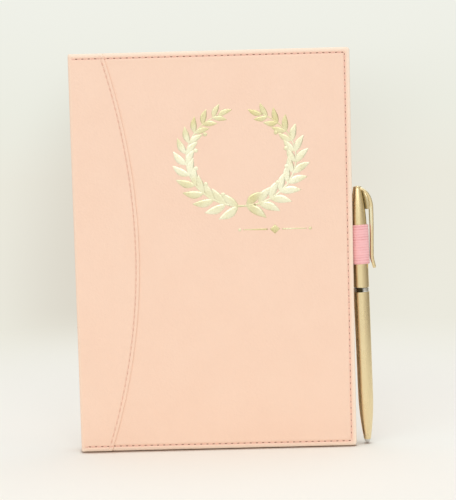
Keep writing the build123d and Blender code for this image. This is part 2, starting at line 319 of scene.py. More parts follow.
# Painted contact shadow: the paper is tinted warm brown where ambient occlusion finds something close, but
# not left of the book.
ray = add_node(tree, "LightPath")
covered = add_node(tree, "AmbientOcclusion", {"Distance": foot_reach}, samples=6)
foot_start = between(tree, sideways, -0.08, 0.066, 0.99, 0.78)
painted_foot_shadow = product(
    tree,
    between(tree, covered.outputs["AO"], 0.5, foot_start, 1.0, 0.0),
    between(tree, sideways, -0.0835, -0.0805),
)
matt_tone = mixed(tree, ray.outputs["Is Diffuse Ray"], paper_seen, paper_thrown)
matt = add_node(tree, "BsdfDiffuse", {"Color": mixed(tree, painted_foot_shadow, matt_tone, painted_foot_shadow_tone)})
glow = add_node(tree, "Emission", {"Color": backdrop})
clear = add_node(tree, "BsdfTransparent")
seen = sums(tree, "MAXIMUM", ray.outputs["Is Camera Ray"], ray.outputs["Is Glossy Ray"])
seen = sums(tree, "MAXIMUM", seen, ray.outputs["Is Transmission Ray"])
distant = add_node(tree, "MixShader", {0: seen, 1: clear.outputs[0], 2: glow.outputs[0]})
whole = add_node(tree, "MixShader", {0: far, 1: matt.outputs[0], 2: distant.outputs[0]})
add_node(tree, "OutputMaterial", {"Surface": whole.outputs[0]})
sweep.data.materials.append(paper_sweep)
print("sweep", len(sweep.data.polygons), "faces")

# %% Light
world = bpy.data.worlds.new("sky")
scene.world = world
world.use_nodes = True
sky = world.node_tree.nodes["Background"].inputs
sky["Color"].default_value = (1.0, 0.995, 0.985, 1.0)
sky["Strength"].default_value = 0.74


def add_lamp(name, place, target, width, watts, tint):
    """A square soft lamp at a place, facing a target, both in metres."""
    lamp_data = bpy.data.lights.new(name, "AREA")
    lamp_data.size = width
    lamp_data.energy = watts
    lamp_data.color = tint
    lamp = bpy.data.objects.new(name, lamp_data)
    facing = Vector(place) - Vector(target)
    lamp.rotation_mode = "QUATERNION"
    lamp.rotation_quaternion = facing.to_track_quat("Z", "Y")
    lamp.location = place
    scene.collection.objects.link(lamp)


book_middle = (0.0, 0.0, 0.11)
add_lamp("front_lamp", (0.1, -1.6, 0.85), book_middle, 1.2, 6.75, (1.0, 0.99, 0.97))
add_lamp("key_lamp", (-0.85, -1.15, 0.9), book_middle, 0.8, 2.2, (1.0, 0.985, 0.95))
add_lamp("top_lamp", (0.25, 0.1, 1.35), book_middle, 0.8, 3.0, (1.0, 0.99, 0.97))
scene.view_settings.view_transform = "Standard"

# %% Dark card
card_reach, card_foot, card_top, card_steps = 0.45, -0.0002, 0.4, 19
card_start, card_deep, card_end = 30, 110, 128


def ease(value, start, end):
    """0 up to start, 1 from end, and between them the S curve 3t^2 - 2t^3."""
    t = np.clip((value - start) / (end - start), 0.0, 1.0)
    return t * t * (3.0 - 2.0 * t)


card_angle = np.radians(np.linspace(card_start, card_end, card_steps))[None, :]
card_x, card_y = card_reach * np.sin(card_angle), -card_reach * np.cos(card_angle)
card_points = stacked(card_x, card_y, np.array([[card_foot], [card_top]])) / MM
card_depth = np.broadcast_to(ease(np.degrees(card_angle), card_start, card_deep), (2, card_steps))
card = make_piece("dark_card", card_points, grid_faces(2, card_steps), marks={"depth": card_depth})
for ray_kind in ("camera", "diffuse", "shadow", "transmission"):
    setattr(card, "visible_" + ray_kind, False)
card_cloth, tree, shader = new_finish("dark_card_cloth", Specular_IOR_Level=0.1)
nap = noise(tree, object_place(tree), 40.0)
dark = mixed(tree, nap, (0.34, 0.30, 0.23, 1), (0.40, 0.36, 0.29, 1))
wire(tree, shader, mixed(tree, mark(tree, "depth"), (0.86, 0.83, 0.75, 1), dark))
card.data.materials.append(card_cloth)
print("stage ready")

# %% [markdown]
# ## Leather finish
# The cover is a soft synthetic leather in blush pink: a fine pebble, a slight mottle and a low silky shine.
# A painted image would do, but a node group is better, because the panels and the wings share the pebble.
# Where a row of stitches pulls the leather in, a mark that the mesh carries makes it rosier and darker:
# pressed leather with painted shade in the groove.
# A second mark, along the turned edges, makes the leather paler there: some wear from handling, and a painted
# highlight where the rounded edges catch the light.


# %% Node groups
def new_group(name, ins, outs):
    """A node group with named sockets, and its two ends."""
    group = bpy.data.node_groups.new(name, "ShaderNodeTree")
    for label, kind in ins:
        group.interface.new_socket(label, in_out="INPUT", socket_type="NodeSocket" + kind)
    for label, kind in outs:
        group.interface.new_socket(label, in_out="OUTPUT", socket_type="NodeSocket" + kind)
    return group, group.nodes.new("NodeGroupInput"), group.nodes.new("NodeGroupOutput")


def use_group(tree, group, **inputs):
    """A group placed in a material with its own values."""
    node = tree.nodes.new("ShaderNodeGroup")
    node.node_tree = group
    for key, value in inputs.items():
        fill_socket(tree, node.inputs[key], value)
    return node


# %% Leather finish
grain_group, grain_in, grain_out = new_group(
    "pebble_grain",
    [("Place", "Vector"), ("Pebbles", "Float"), ("Cloud", "Float")],
    [("Height", "Float"), ("Mottle", "Float")],
)
place, fineness = grain_in.outputs["Place"], grain_in.outputs["Pebbles"]
pebble_inputs = {"Vector": place, "Scale": fineness, "Smoothness": 0.6}
pebbles = add_node(grain_group, "TexVoronoi", pebble_inputs, feature="SMOOTH_F1")
wrinkle = noise(grain_group, place, fineness, 3.0, 0.6)
cloud = noise(grain_group, place, grain_in.outputs["Cloud"], 4.0, 0.55)
sunk = sums(grain_group, "MULTIPLY", pebbles.outputs["Distance"], -0.8)
raised = sums(grain_group, "MULTIPLY_ADD", wrinkle, 0.6, sunk)
grain_group.links.new(raised, grain_out.inputs["Height"])
grain_group.links.new(cloud, grain_out.inputs["Mottle"])


def make_leather(name, light, shade, pressed_and_shaded, wear_and_highlight):
    """Leather between two tones of its colour, with others for two marks: painted shade by the stitches, and
    a painted highlight with some wear along the edges.
    """
    finish, tree, shader = new_finish(
        name, IOR=1.45, Specular_IOR_Level=0.45, Sheen_Weight=0.08, Sheen_Roughness=0.5
    )
    grain = use_group(tree, grain_group, Place=object_place(tree), Pebbles=820.0, Cloud=45.0)
    mottle, height = grain.outputs["Mottle"], grain.outputs["Height"]
    colour = mixed(tree, between(tree, mottle, 0.3, 0.7), light, shade)
    colour = mixed(tree, between(tree, height, -0.35, 0.1, 0.12, 0.0), colour, shade)
    # A painted highlight, with some wear, along the edges.
    wear_and_highlight_share = product(tree, mark(tree, "wear_and_highlight"), between(tree, mottle, 0.25, 0.6, 0.75, 1.0))
    colour = mixed(tree, wear_and_highlight_share, colour, wear_and_highlight)
    # Painted shade, with pressed leather, where the stitches pull it in.
    colour = mixed(tree, mark(tree, "pressed_and_shaded"), colour, pressed_and_shaded)
    wire(tree, shader, colour, between(tree, mottle, 0.2, 0.8, 0.44, 0.56), height, 0.4, 0.2 * MM)
    return finish


leather = make_leather(
    "blush_leather",
    light=(0.94, 0.675, 0.525, 1),
    shade=(0.93, 0.66, 0.51, 1),
    pressed_and_shaded=(0.92, 0.62, 0.485, 1),
    wear_and_highlight=(0.96, 0.79, 0.64, 1),
)
print("leather ready")

# %% [markdown]
# ## Front and back panels
# Each panel is one skin: over the face, round the edge of the board and turned in under the lining.
# It could be a bevelled box, but a real skin has a soft edge, sunken stitches and padded flesh beside them.
# So the rim is a profile of inset and depth, carried along tail, fore-edge and head.
# A flat patch fills the rest.


# %% Sizes of the cover
def in_mm(corners):
    """The low and the high corner of a box, in millimetres."""
    return [np.array(corner) / MM for corner in corners]


panel_low, panel_high = in_mm(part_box("front_panel"))
wing_low = in_mm(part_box("front_wing"))[0]
spine_x = wing_low[0]
cover_width = panel_high[0] - spine_x
cover_height = panel_high[2]
half_thickness = -panel_low[1]
skin_back = panel_high[1] - panel_low[1]
wing_rise = panel_low[1] - wing_low[1]
seam_end, seam_middle, seam_draw = 18.7, 35.0, 1.9
seam_bow = seam_middle - seam_end
seam_radius = ((cover_height / 2) ** 2 + seam_bow**2) / (2 * seam_bow)
edge_inset, seam_inset = 2.8, 1.85
stitch_pitch = 3.4
pull_depth, pull_width = 0.26, 0.42
sewn_width, seam_sewn = 0.42, 0.3
wear_and_highlight_start, wear_and_highlight_end = 0.5, 2.5


def seam_x(z):
    """Distance of the wing's curved edge from the spine: an arc of a circle, farthest out at half height.
    Below that it is drawn in a little more, as t^1.6 with t from 0 at half height to 1 at the tail."""
    below = np.clip(1 - 2 * z / cover_height, 0, 1)
    arc = seam_middle - seam_radius + np.sqrt(seam_radius**2 - (z - cover_height / 2) ** 2)
    return arc - seam_draw * below**1.6


def on_cover(x, depth, z, back=False):
    """A place on a cover, from its distance to the spine, its depth below the face and its height."""
    y = depth - half_thickness
    return stacked(x + spine_x, -y if back else y, z)


print("cover", cover_width.round(2), "x", cover_height.round(2), "skin", skin_back.round(2))

# %% Rim profile
rim = 8.0
outer_round, inner_round, plan_round = 1.0, 0.5, 1.8
quarter = np.linspace(0.0, np.pi / 2, 7)
by_stitches = [2.25, 2.45, 2.63, 2.8, 2.97, 3.15, 3.35, 3.6]
face_inset = np.array([1.4, 1.7, 2.0] + by_stitches + [4.0, 4.6, 5.5, 6.7, rim])
profile_inset = np.concatenate([
    [rim, 4.0, 1.5],
    inner_round * (1 - np.sin(quarter)),
    [0.0],
    outer_round * (1 - np.cos(quarter)),
    face_inset,
])
profile_depth = np.concatenate([
    [skin_back] * 3,
    skin_back - inner_round * (1 - np.cos(quarter)),
    [(skin_back + outer_round) / 2],
    outer_round * (1 - np.sin(quarter)),
    np.zeros(len(face_inset)),
])


def bell(value, middle, width):
    """1 at the middle, falling off as exp of minus the squared distance in widths."""
    return np.exp(-(((value - middle) / width) ** 2))


def edge_pad(inset):
    """How far the leather swells between its edge and the stitches."""
    return 0.1 * bell(inset, 1.75, 0.5)


number = np.arange(len(profile_inset))
on_face = number >= len(profile_inset) - len(face_inset) - 2
outside = number >= 2 + len(quarter)
padding = edge_pad(profile_inset) + 0.12 * bell(profile_inset, 4.2, 0.8)
fading = 1 - ease(profile_inset, 6.0, rim)
sinking = (pull_depth * bell(profile_inset, edge_inset, pull_width) - padding) * fading
profile_depth = profile_depth + np.where(on_face, sinking, 0.0)
# Along the stitches the leather is pressed in and gets painted shade.
profile_sewn = np.where(on_face, bell(profile_inset, edge_inset, sewn_width), 0.0)
# Round the outer edge, a painted highlight with some wear.
profile_wear_and_highlight = np.where(outside, 1 - ease(profile_inset, wear_and_highlight_start, wear_and_highlight_end), 0.0)
print("rim profile", len(profile_inset), "points")

# %% Panels
tucked, tuck_depth, tuck_draw = 3.0, 0.16, 0.005
panel_skin = 0.4
along_steps = np.concatenate([np.linspace(0, 0.045, 10), np.linspace(0.045, 1, 46)[1:]])
up_steps = np.linspace(0, 1, 80)


def thicken(piece, thickness):
    """Gives a sheet its thickness in millimetres, behind the side that shows."""
    wall = piece.modifiers.new("skin", "SOLIDIFY")
    wall.thickness = thickness * MM
    wall.offset = -1.0


def panel_left(z):
    """Where the panel ends, hidden under the wing."""
    return seam_x(z) - tucked


def rim_places():
    """Rows along tail, low corner, fore-edge, high corner and head; columns along the profile.
    Every row is the outer edge at inset 0, the inner rectangle at inset rim, and straight between them."""
    inset = profile_inset[None, :]
    share = inset / rim
    corner = (1 - share) * plan_round + share * rim
    tail_z = np.broadcast_to(inset, (len(along_steps), inset.shape[1]))
    head_z = cover_height - tail_z
    tail_x, head_x = (
        panel_left(z) + (cover_width - corner - panel_left(z)) * along_steps[:, None]
        for z in (tail_z, head_z)
    )
    turn = np.linspace(0, np.pi / 2, 9)[1:-1, None]
    bend_x = (1 - share) * (cover_width - plan_round * (1 - np.sin(turn))) + share * (cover_width - rim)
    bend_z = (1 - share) * plan_round * (1 - np.cos(turn)) + share * rim
    fore_z = corner + (cover_height - 2 * corner) * up_steps[:, None]
    fore_x = np.broadcast_to(cover_width - inset, fore_z.shape)
    x = np.concatenate([tail_x, bend_x, fore_x, bend_x[::-1], head_x[::-1]])
    z = np.concatenate([tail_z, bend_z, fore_z, cover_height - bend_z[::-1], head_z[::-1]])
    return x, z


def tuck_under(x, depth, z):
    """Left of the seam the skin sinks a little and draws in at head and tail, under the wing."""
    under = 1 - ease(x - seam_x(z), -0.6, 0.7)
    return depth + tuck_depth * under, cover_height / 2 + (z - cover_height / 2) * (1 - tuck_draw * under)


def make_panel(name, back):
    """The rim and the flat patch inside it, joined where their points meet."""
    x, z = rim_places()
    depth, z = tuck_under(x, np.broadcast_to(profile_depth, x.shape), z)
    patch_up = np.broadcast_to(up_steps[:, None], (len(up_steps), len(along_steps)))
    patch_z = rim + (cover_height - 2 * rim) * patch_up
    patch_x = panel_left(patch_z) + (cover_width - rim - panel_left(patch_z)) * along_steps
    patch_depth, patch_z = tuck_under(patch_x, np.zeros(patch_x.shape), patch_z)
    rim_points = on_cover(x, depth, z, back).reshape(-1, 3)
    patch_points = on_cover(patch_x, patch_depth, patch_z, back).reshape(-1, 3)
    points = np.concatenate([rim_points, patch_points])
    plain = np.zeros(patch_x.size)
    marks = {
        label: np.concatenate([np.broadcast_to(values, x.shape).ravel(), plain])
        for label, values in (("pressed_and_shaded", profile_sewn), ("wear_and_highlight", profile_wear_and_highlight))
    }
    faces = np.concatenate([grid_faces(*x.shape)[:, ::-1], grid_faces(*patch_x.shape) + x.size])
    piece = make_piece(name, points, faces[:, ::-1] if back else faces, marks=marks)
    close_seams(piece, outward=False)
    thicken(piece, panel_skin)
    piece.data.materials.append(leather)
    return piece


front_panel = make_panel("front_panel_leather", False)
back_panel = make_panel("back_panel_leather", True)
for side, panel in (("front", front_panel), ("back", back_panel)):
    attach(panel, side + "_cover")
    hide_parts(side + "_panel")
    print(panel.name, len(panel.data.polygons), "faces")

# %% [markdown]
# ## Wings and spine
# One piece of the same leather covers the spine and reaches over both covers as two curved wings.
# Its free edge is folded and stands half a millimetre proud of the panel, with a row of stitches beside it.
# It is made as two halves that meet in the middle of the spine.
# Across, a half is a folded edge, a face, a rounded corner and half the spine.
# Along, it is wrapped over head and tail.

# %% Wing steps
spine_round = 1.6
fold_round = wing_rise / 2
fold_turn = np.linspace(-np.pi / 2, np.pi / 2, 7)
corner_turn = np.linspace(0, np.pi / 2, 9)
seam_steps = np.array([0.5, 0.75, 1.0, 1.22, 1.43, 1.64, 1.85, 2.06, 2.27, 2.5, 2.75, 3.2, 4.0, 5.0, 6.0])
reach_steps = np.linspace(0, 1, 14)[1:-1]
spine_steps = np.linspace(spine_round - wing_rise, half_thickness, 9)[1:]
rise_steps = np.array([1.3, 1.5, 1.75, 2.0] + by_stitches + [4.1, 5.0, 6.5, 8.5])
even_start, even_rows = 11, 56
even_steps = np.linspace(even_start, cover_height - even_start, even_rows)
up_wing = np.concatenate([rise_steps, even_steps, cover_height - rise_steps[::-1]])


def wing_wrap():
    """Along the wing: height, how far round the end it has turned, and three lengths gone inwards.
    These are shares of the outer rounding, the flat top and the inner rounding."""
    turn = np.linspace(0, np.pi / 2, 7)[1:]
    one = np.ones(len(turn))
    height = np.concatenate([
        cover_height - outer_round * (1 - np.sin(turn)),
        [cover_height],
        cover_height - inner_round * (1 - np.cos(turn)),
        [cover_height - 2.5, cover_height - 5.5],
    ])
    facing = np.concatenate([turn, [np.pi / 2], np.pi / 2 + turn, [np.pi, np.pi]])
    first = np.concatenate([1 - np.cos(turn), [1.0], one, [1.0, 1.0]])
    flat = np.concatenate([0 * turn, [0.5], one, [1.0, 1.0]])
    last = np.concatenate([0 * turn, [0.0], np.sin(turn), [1.0, 1.0]])
    low = (cover_height - height[::-1], -facing[::-1], first[::-1], flat[::-1], last[::-1])
    middle = (up_wing, 0 * up_wing, 0 * up_wing, 0 * up_wing, 0 * up_wing)
    high = (height, facing, first, flat, last)
    return [np.concatenate(parts)[:, None] for parts in zip(low, middle, high)]


print("wing", len(up_wing), "rows")

# %% Wing shape
wing_edge = np.concatenate([[2.6, 0.8], fold_round * (1 - np.cos(fold_turn)), seam_steps])
edge_below = np.concatenate([[wing_rise, wing_rise], fold_round * (1 - np.sin(fold_turn)), 0 * seam_steps])
far_from_seam = 9.0
fold_wall, spine_wall_more = 1.5, 0.75
cut_share, cut_full, cut_none = 0.58, 4.2, 7.0


def wing_outside(level_z):
    """The plain outside at each height: distance from the spine, depth, and angle from face to spine."""
    near = seam_x(level_z) - wing_edge
    start = seam_x(level_z) - seam_steps[-1]
    reach = start + (spine_round - start) * reach_steps
    corner_x = np.broadcast_to(spine_round * (1 - np.sin(corner_turn)), (len(level_z), len(corner_turn)))
    x = np.concatenate([near, reach, corner_x, np.zeros((len(level_z), len(spine_steps)))], 1)
    plain = np.full(near.shape[1] + reach.shape[1], -wing_rise)
    depth = np.concatenate([plain, spine_round - wing_rise - spine_round * np.cos(corner_turn), spine_steps])
    angle = np.concatenate([0 * plain, corner_turn, 0 * spine_steps + np.pi / 2])
    return x, depth, angle


def wing_walls(x, depth, angle, first, flat, last):
    """How far the wrap has gone inwards: roundings and flat add up to the wall that the place needs."""
    over_board = fold_wall + (skin_back + wing_rise - fold_wall) * ease(x, spine_round, 3.1)
    over_spine = fold_wall + spine_wall_more * ease(depth, spine_round - wing_rise, 1.7)
    wall = np.where(angle < 0.01, over_board, over_spine)
    outer = np.minimum(outer_round, 0.45 * wall)
    inner = np.minimum(inner_round, 0.2 * wall)
    return first * outer + flat * (wall - outer - inner) + last * inner


def wing_places():
    """Rows along the wing and columns across it: a point of the outside, moved in along its normal.
    The wrap and the stitch grooves move it, and at the folded edge the thickness does too.
    Inside the spine the turned-in ends are cut short, to stay clear of the pages."""
    height, facing, first, flat, last = wing_wrap()
    level_z = np.clip(height, 0, cover_height)
    x, depth, angle = wing_outside(level_z)
    inward = wing_walls(x, depth, angle, first, flat, last)
    beyond = x.shape[1] - len(wing_edge)
    below = np.concatenate([edge_below, np.zeros(beyond)])
    from_seam = np.concatenate([wing_edge, np.full(beyond, far_from_seam)])
    from_end = np.minimum(level_z, cover_height - level_z)
    on_outside = (np.abs(facing) < 0.01) & (below < 0.01)
    off_spine = ease(x, spine_round, 3.6)
    seam_pull = bell(from_seam, seam_inset, pull_width) * np.ones(x.shape)
    edge_pull = bell(from_end, edge_inset, pull_width) * off_spine
    sinking = pull_depth * np.maximum(seam_pull, edge_pull) - edge_pad(from_end) * off_spine
    inward = inward + np.where(on_outside, sinking, 0.0)
    # Along both rows of stitches, pressed leather with painted shade.
    on_edge = bell(from_end, edge_inset, sewn_width) * ease(x, 1.0, 3.6)
    on_seam = seam_sewn * bell(from_seam, seam_inset, sewn_width)
    pressed_and_shaded = np.where(on_outside, np.maximum(on_seam, on_edge), 0.0)
    # Round the ends and the spine corner, a painted highlight with some wear.
    wear_and_highlight = np.where(flat + 0 * x < 0.9, 1 - ease(from_end, wear_and_highlight_start, wear_and_highlight_end), 0.0)
    from_corner = np.where(angle < 0.01, x, depth + wing_rise)
    wear_and_highlight = np.maximum(wear_and_highlight, 0.2 * bell(from_corner, 0.3, 0.9) * (flat < 0.1))
    inward = inward + below * np.cos(facing)
    shorter = cut_share * (from_end - inner_round) * (1 - ease(x, cut_full, cut_none))
    cut_short = np.where(np.abs(facing) > 3.1, shorter, 0.0)
    z = height + np.sign(facing) * cut_short - below * np.sin(facing)
    return x + inward * np.sin(angle), depth + inward * np.cos(angle), z, {"pressed_and_shaded": pressed_and_shaded, "wear_and_highlight": wear_and_highlight}


# %% Wing pieces
wing_skin, bend_reach = 0.3, 3.2


def make_wing(name, back):
    """A half of the spine piece on one cover, with its faces turned outwards."""
    x, depth, z, marks = wing_places()
    faces = grid_faces(*x.shape)
    piece = make_piece(name, on_cover(x, depth, z, back), faces if back else faces[:, ::-1], marks=marks)
    thicken(piece, wing_skin)
    piece.data.materials.append(leather)
    return piece


front_wing = make_wing("front_wing_leather", False)
back_wing = make_wing("back_wing_leather", True)
for side, wing, sign in (("front", front_wing, -1), ("back", back_wing, 1)):
    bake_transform(wing)
    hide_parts(side + "_wing", "spine_wrap")
    print(wing.name, len(wing.data.polygons), "faces")

# %% [markdown]
# ## Stitches
# A lockstitch shows as a short thread that dives into a needle hole at each end, darker than the thread.
# A dashed texture would stay flat, so each stitch is a small bent tube and each hole a dimple in the groove.
# One tube and one dimple are worked out once, and whole rows of copies are placed by arrays.


# %% Thread and hole finishes
def make_thread(name, light, dark):
    """Twisted thread: two shades in slanting bands along the stitch, with a fuzzy sheen."""
    finish, tree, shader = new_finish(name, IOR=1.45, Sheen_Weight=0.25, Sheen_Roughness=0.6)
    twist = {"Vector": object_place(tree), "Scale": 620.0, "Distortion": 1.5, "Detail": 1.0}
    bands = add_node(tree, "TexWave", twist, bands_direction="DIAGONAL").outputs["Fac"]
    roughness = between(tree, bands, 0.0, 1.0, 0.75, 0.6)
    wire(tree, shader, mixed(tree, bands, dark, light), roughness, bands, 0.3)
    return finish


def make_hole(name, painted_hole_rim_shade, painted_hole_shade):
    """Needle hole: painted shade, darkest towards the middle."""
    finish, tree, shader = new_finish(name, Roughness=0.8, Specular_IOR_Level=0.1)
    wire(tree, shader, mixed(tree, noise(tree, object_place(tree), 2500.0), painted_hole_rim_shade, painted_hole_shade))
    return finish


edge_thread = make_thread("edge_thread", (0.90, 0.58, 0.47, 1), (0.82, 0.48, 0.38, 1))
seam_thread = make_thread("seam_thread", (0.83, 0.52, 0.40, 1), (0.75, 0.45, 0.345, 1))
# The dark tones of the holes are painted shade: the dimples lie on the groove and hold no shadow of their
# own.
edge_hole = make_hole("edge_needle_hole_shade", (0.36, 0.15, 0.115, 1), (0.22, 0.08, 0.06, 1))
seam_hole = make_hole("seam_needle_hole_shade", (0.44, 0.22, 0.155, 1), (0.30, 0.14, 0.095, 1))
print("thread and holes ready")

# %% One stitch and one hole
stitch_rise = 0.16
thread_sides, hole_sides = 6, 12


def stitch_shape(length, radius):
    """Rings of a tube whose middle line is an arch, high in the middle and dived at both ends.
    Along t it is at height rise (1 - 2.2 t^4), and its radius shrinks as the square root of 1 - 0.75 t^4.
    A point closes each end."""
    t = np.concatenate([[-1.0], np.linspace(-1, 1, 8), [1.0]])[:, None]
    turn = full_turn(thread_sides)[None, :]
    thin = radius * np.sqrt(1 - 0.75 * t**4)
    thin[[0, -1]] = 0.0
    height = stitch_rise * (1 - 2.2 * t**4) + thin * np.sin(turn)
    points = stacked(t * length / 2, thin * np.cos(turn), height)
    return points.reshape(-1, 3), grid_faces(len(t), thread_sides, ring_columns=True)[:, ::-1]


def hole_shape(length, width):
    """Oval rings that lie on the groove: its floor is at height 0, and its sides rise as depth (1 - bell)."""
    turn = full_turn(hole_sides)[None, :]
    share = np.array([1.0, 0.75, 0.4, 0.0])[:, None]
    clear_by = np.array([-0.02, 0.03, 0.035, 0.03])[:, None]
    across = share * np.sin(turn) * width / 2
    lift = pull_depth * (1 - bell(across, 0.0, pull_width)) + clear_by
    points = stacked(share * np.cos(turn) * length / 2, across, lift)
    return points.reshape(-1, 3), grid_faces(len(share), hole_sides, ring_columns=True)


# %% Rows of stitches
thread_slant, fore_hole_share = 0.05, 0.78
edge_sizes = {"thread_size": (2.5, 0.24), "hole_size": (1.75, 0.62)}
seam_sizes = {"thread_size": (2.6, 0.2), "hole_size": (2.0, 0.48)}


def spread(low, high):
    """Middles of evenly spaced stitches between two ends."""
    count = int(round((high - low) / stitch_pitch))
    return low + (high - low) / count * (np.arange(count) + 0.5)


def edge_rows():
    """Rows at tail, head and fore-edge: distance from the spine, height, turn and share of hole size."""
    clear_of_corner = edge_inset + 1.0
    along = spread(spine_round - 0.3, cover_width - clear_of_corner)
    up = spread(clear_of_corner, cover_height - clear_of_corner)
    rows = [(along, np.full(len(along), z), 0.0, 1.0) for z in (edge_inset, cover_height - edge_inset)]
    return rows + [(np.full(len(up), cover_width - edge_inset), up, np.pi / 2, fore_hole_share)]


def seam_rows():
    """The same for the row beside the curved edge of the wing, turned with the arc."""
    clear_of_edge = edge_inset + 1.2
    up = spread(clear_of_edge, cover_height - clear_of_edge)
    slant = np.arcsin((up - cover_height / 2) / seam_radius)
    return [(seam_x(up) - seam_inset / np.cos(slant), up, np.pi / 2 + slant, 1.0)]


def many(faces, moved):
    """Copies of one small shape: its faces repeated, with their numbers shifted by the copies before."""
    shift = (np.arange(len(moved)) * moved.shape[1])[:, None, None]
    return moved.reshape(-1, 3), (faces[None] + shift).reshape(-1, faces.shape[1])


def join_parts(parts):
    """Points and quads of several parts as one list of each."""
    before = np.cumsum([0] + [len(points) for points, _ in parts])
    return np.concatenate([p for p, _ in parts]), np.concatenate([f + n for (_, f), n in zip(parts, before)])


def place_row(shape, x, z, turn, shift, back):
    """Copies of a shape along a row: turned in the plane of the cover, shifted along the row, and set in the
    groove of whatever lies there, the wing or the panel."""
    points, faces = shape
    turn = np.broadcast_to(turn, x.shape)
    middle = x + shift * np.cos(turn)
    depth = pull_depth - wing_rise * (middle < seam_x(z + shift * np.sin(turn)) - 0.5)
    turn = turn[:, None]
    along = points[None, :, 0] + shift
    across = points[None, :, 1]
    placed = on_cover(
        x[:, None] + along * np.cos(turn) - across * np.sin(turn),
        depth[:, None] - points[None, :, 2],
        z[:, None] + along * np.sin(turn) + across * np.cos(turn),
        back,
    )
    return many(faces if back else faces[:, ::-1], placed)


def make_stitches(name, rows, thread, hole, thread_size, hole_size, back):
    """All threads and holes of some rows as one piece with two finishes, by turns."""
    parts = []
    for x, z, turn, share in rows:
        parts.append(place_row(stitch_shape(*thread_size), x, z, turn + thread_slant, 0.0, back))
        hole_length, hole_width = (share * size for size in hole_size)
        parts.append(place_row(hole_shape(hole_length, hole_width), x, z, turn, stitch_pitch / 2, back))
    piece = make_piece(name, *join_parts(parts))
    piece.data.materials.append(thread)
    piece.data.materials.append(hole)
    finish_number = np.concatenate([np.full(len(faces), count % 2) for count, (_, faces) in enumerate(parts)])
    piece.data.polygons.foreach_set("material_index", finish_number)
    return close_seams(piece, outward=False)


for side, back in (("front", False), ("back", True)):
    edge = make_stitches(side + "_edge_sewing", edge_rows(), edge_thread, edge_hole, back=back, **edge_sizes)
    seam = make_stitches(side + "_seam_sewing", seam_rows(), seam_thread, seam_hole, back=back, **seam_sizes)
    for sewing, node in ((edge, "_edge_stitches"), (seam, "_seam_stitches")):
        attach(sewing, side + "_cover")
        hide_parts(side + node)
        print(sewing.name, len(sewing.data.polygons), "faces")

# %% [markdown]
# ## Foil ornament
# The front carries a stamped ornament in pale gold foil: an open wreath and, below it, a rule with a lozenge.
# A cut-out in a texture would be soft at the edges, so each leaf is a tiny crowned plate on the leather.
# Every leaf is the same function of length and breadth, and arrays give each its place, turn and size.

# %% Foil finish
foil, tree, shader = new_finish("pale_gold_foil", Metallic=1.0)
speck = noise(tree, object_place(tree), 650.0, 5.0, 0.7)
drift = noise(tree, object_place(tree), 38.0)
dark_gold, pale_gold, worn_gold = (0.74, 0.66, 0.36, 1), (0.97, 0.95, 0.76, 1), (0.56, 0.47, 0.22, 1)
tone = mixed(tree, between(tree, drift, 0.35, 0.65), dark_gold, pale_gold)
tone = mixed(tree, between(tree, speck, 0.5, 0.75, 0.0, 0.45), tone, worn_gold)
wire(tree, shader, tone, between(tree, speck, 0.3, 0.7, 0.26, 0.46), speck, 0.35, 0.2 * MM)

# %% Leaves, bands and dots
foil_lift, foil_sunk, foil_backing = 0.06, 0.02, 0.04
leaf_rows, leaf_columns = 13, 5


def leaf_plates(x, z, turn, length, width):
    """Leaves as grids: along u from stalk to tip the half breadth is w sin(pi u^0.85).
    Across v from -1 to 1 the plate is highest on its rib and comes down to the leather at its edge."""
    u = np.linspace(0, 1, leaf_rows)[None, :, None]
    v = np.linspace(-1, 1, leaf_columns)[None, None, :]
    x, z, turn, length, width = (value[:, None, None] for value in (x, z, turn, length, width))
    along = length * (u + 0 * v)
    across = width / 2 * np.sin(np.pi * u**0.85) * v + 0.06 * length * np.sin(np.pi * u)
    rise = np.minimum(1, 6 * np.sin(np.pi * u).round(9))
    lift = foil_lift * (1 - 0.75 * v**2 * rise) * (0.15 + 0.85 * rise)
    points = on_cover(
        x + along * np.cos(turn) - across * np.sin(turn),
        foil_sunk - lift,
        z + along * np.sin(turn) + across * np.cos(turn),
    )
    return many(grid_faces(leaf_rows, leaf_columns)[:, ::-1], points.reshape(len(points), -1, 3))


def ribbon(x, z, width):
    """A narrow band of foil along a line of points, as wide as given at each, crowned across."""
    along_x, along_z = np.gradient(x), np.gradient(z)
    size = np.hypot(along_x, along_z)
    v = np.linspace(-1, 1, 5)[None, :]
    half = (width / 2)[:, None] * v
    points = on_cover(
        x[:, None] - half * (along_z / size)[:, None],
        foil_sunk - foil_lift * (1 - 0.75 * v**2),
        z[:, None] + half * (along_x / size)[:, None],
    )
    return points.reshape(-1, 3), grid_faces(len(x), 5)[:, ::-1]


def dots(x, z, radius):
    """Small domes: rings that shrink towards the middle as they rise."""
    sides = 16
    turn = full_turn(sides)[None, None, :]
    share = np.array([1.0, 0.85, 0.5, 0.0])[None, :, None]
    reach = radius[:, None, None] * share
    points = on_cover(
        x[:, None, None] + reach * np.cos(turn),
        foil_sunk - foil_lift * 1.6 * (1 - share**2),
        z[:, None, None] + reach * np.sin(turn),
    )
    return many(grid_faces(share.size, sides, ring_columns=True)[:, ::-1], points.reshape(len(x), -1, 3))


# %% Wreath and rule
wreath_x, wreath_z = 91.3, 158.0
wreath_half_width, wreath_half_height = 29.5, 25.5
stem_points, leaf_pairs = 60, 12
leaf_spread, berry_inset, berry_radius = 0.62, 4.6, 1.15
rule_x, rule_z, half_rule, half_lozenge = 108.6, 119.7, 19.0, 2.6


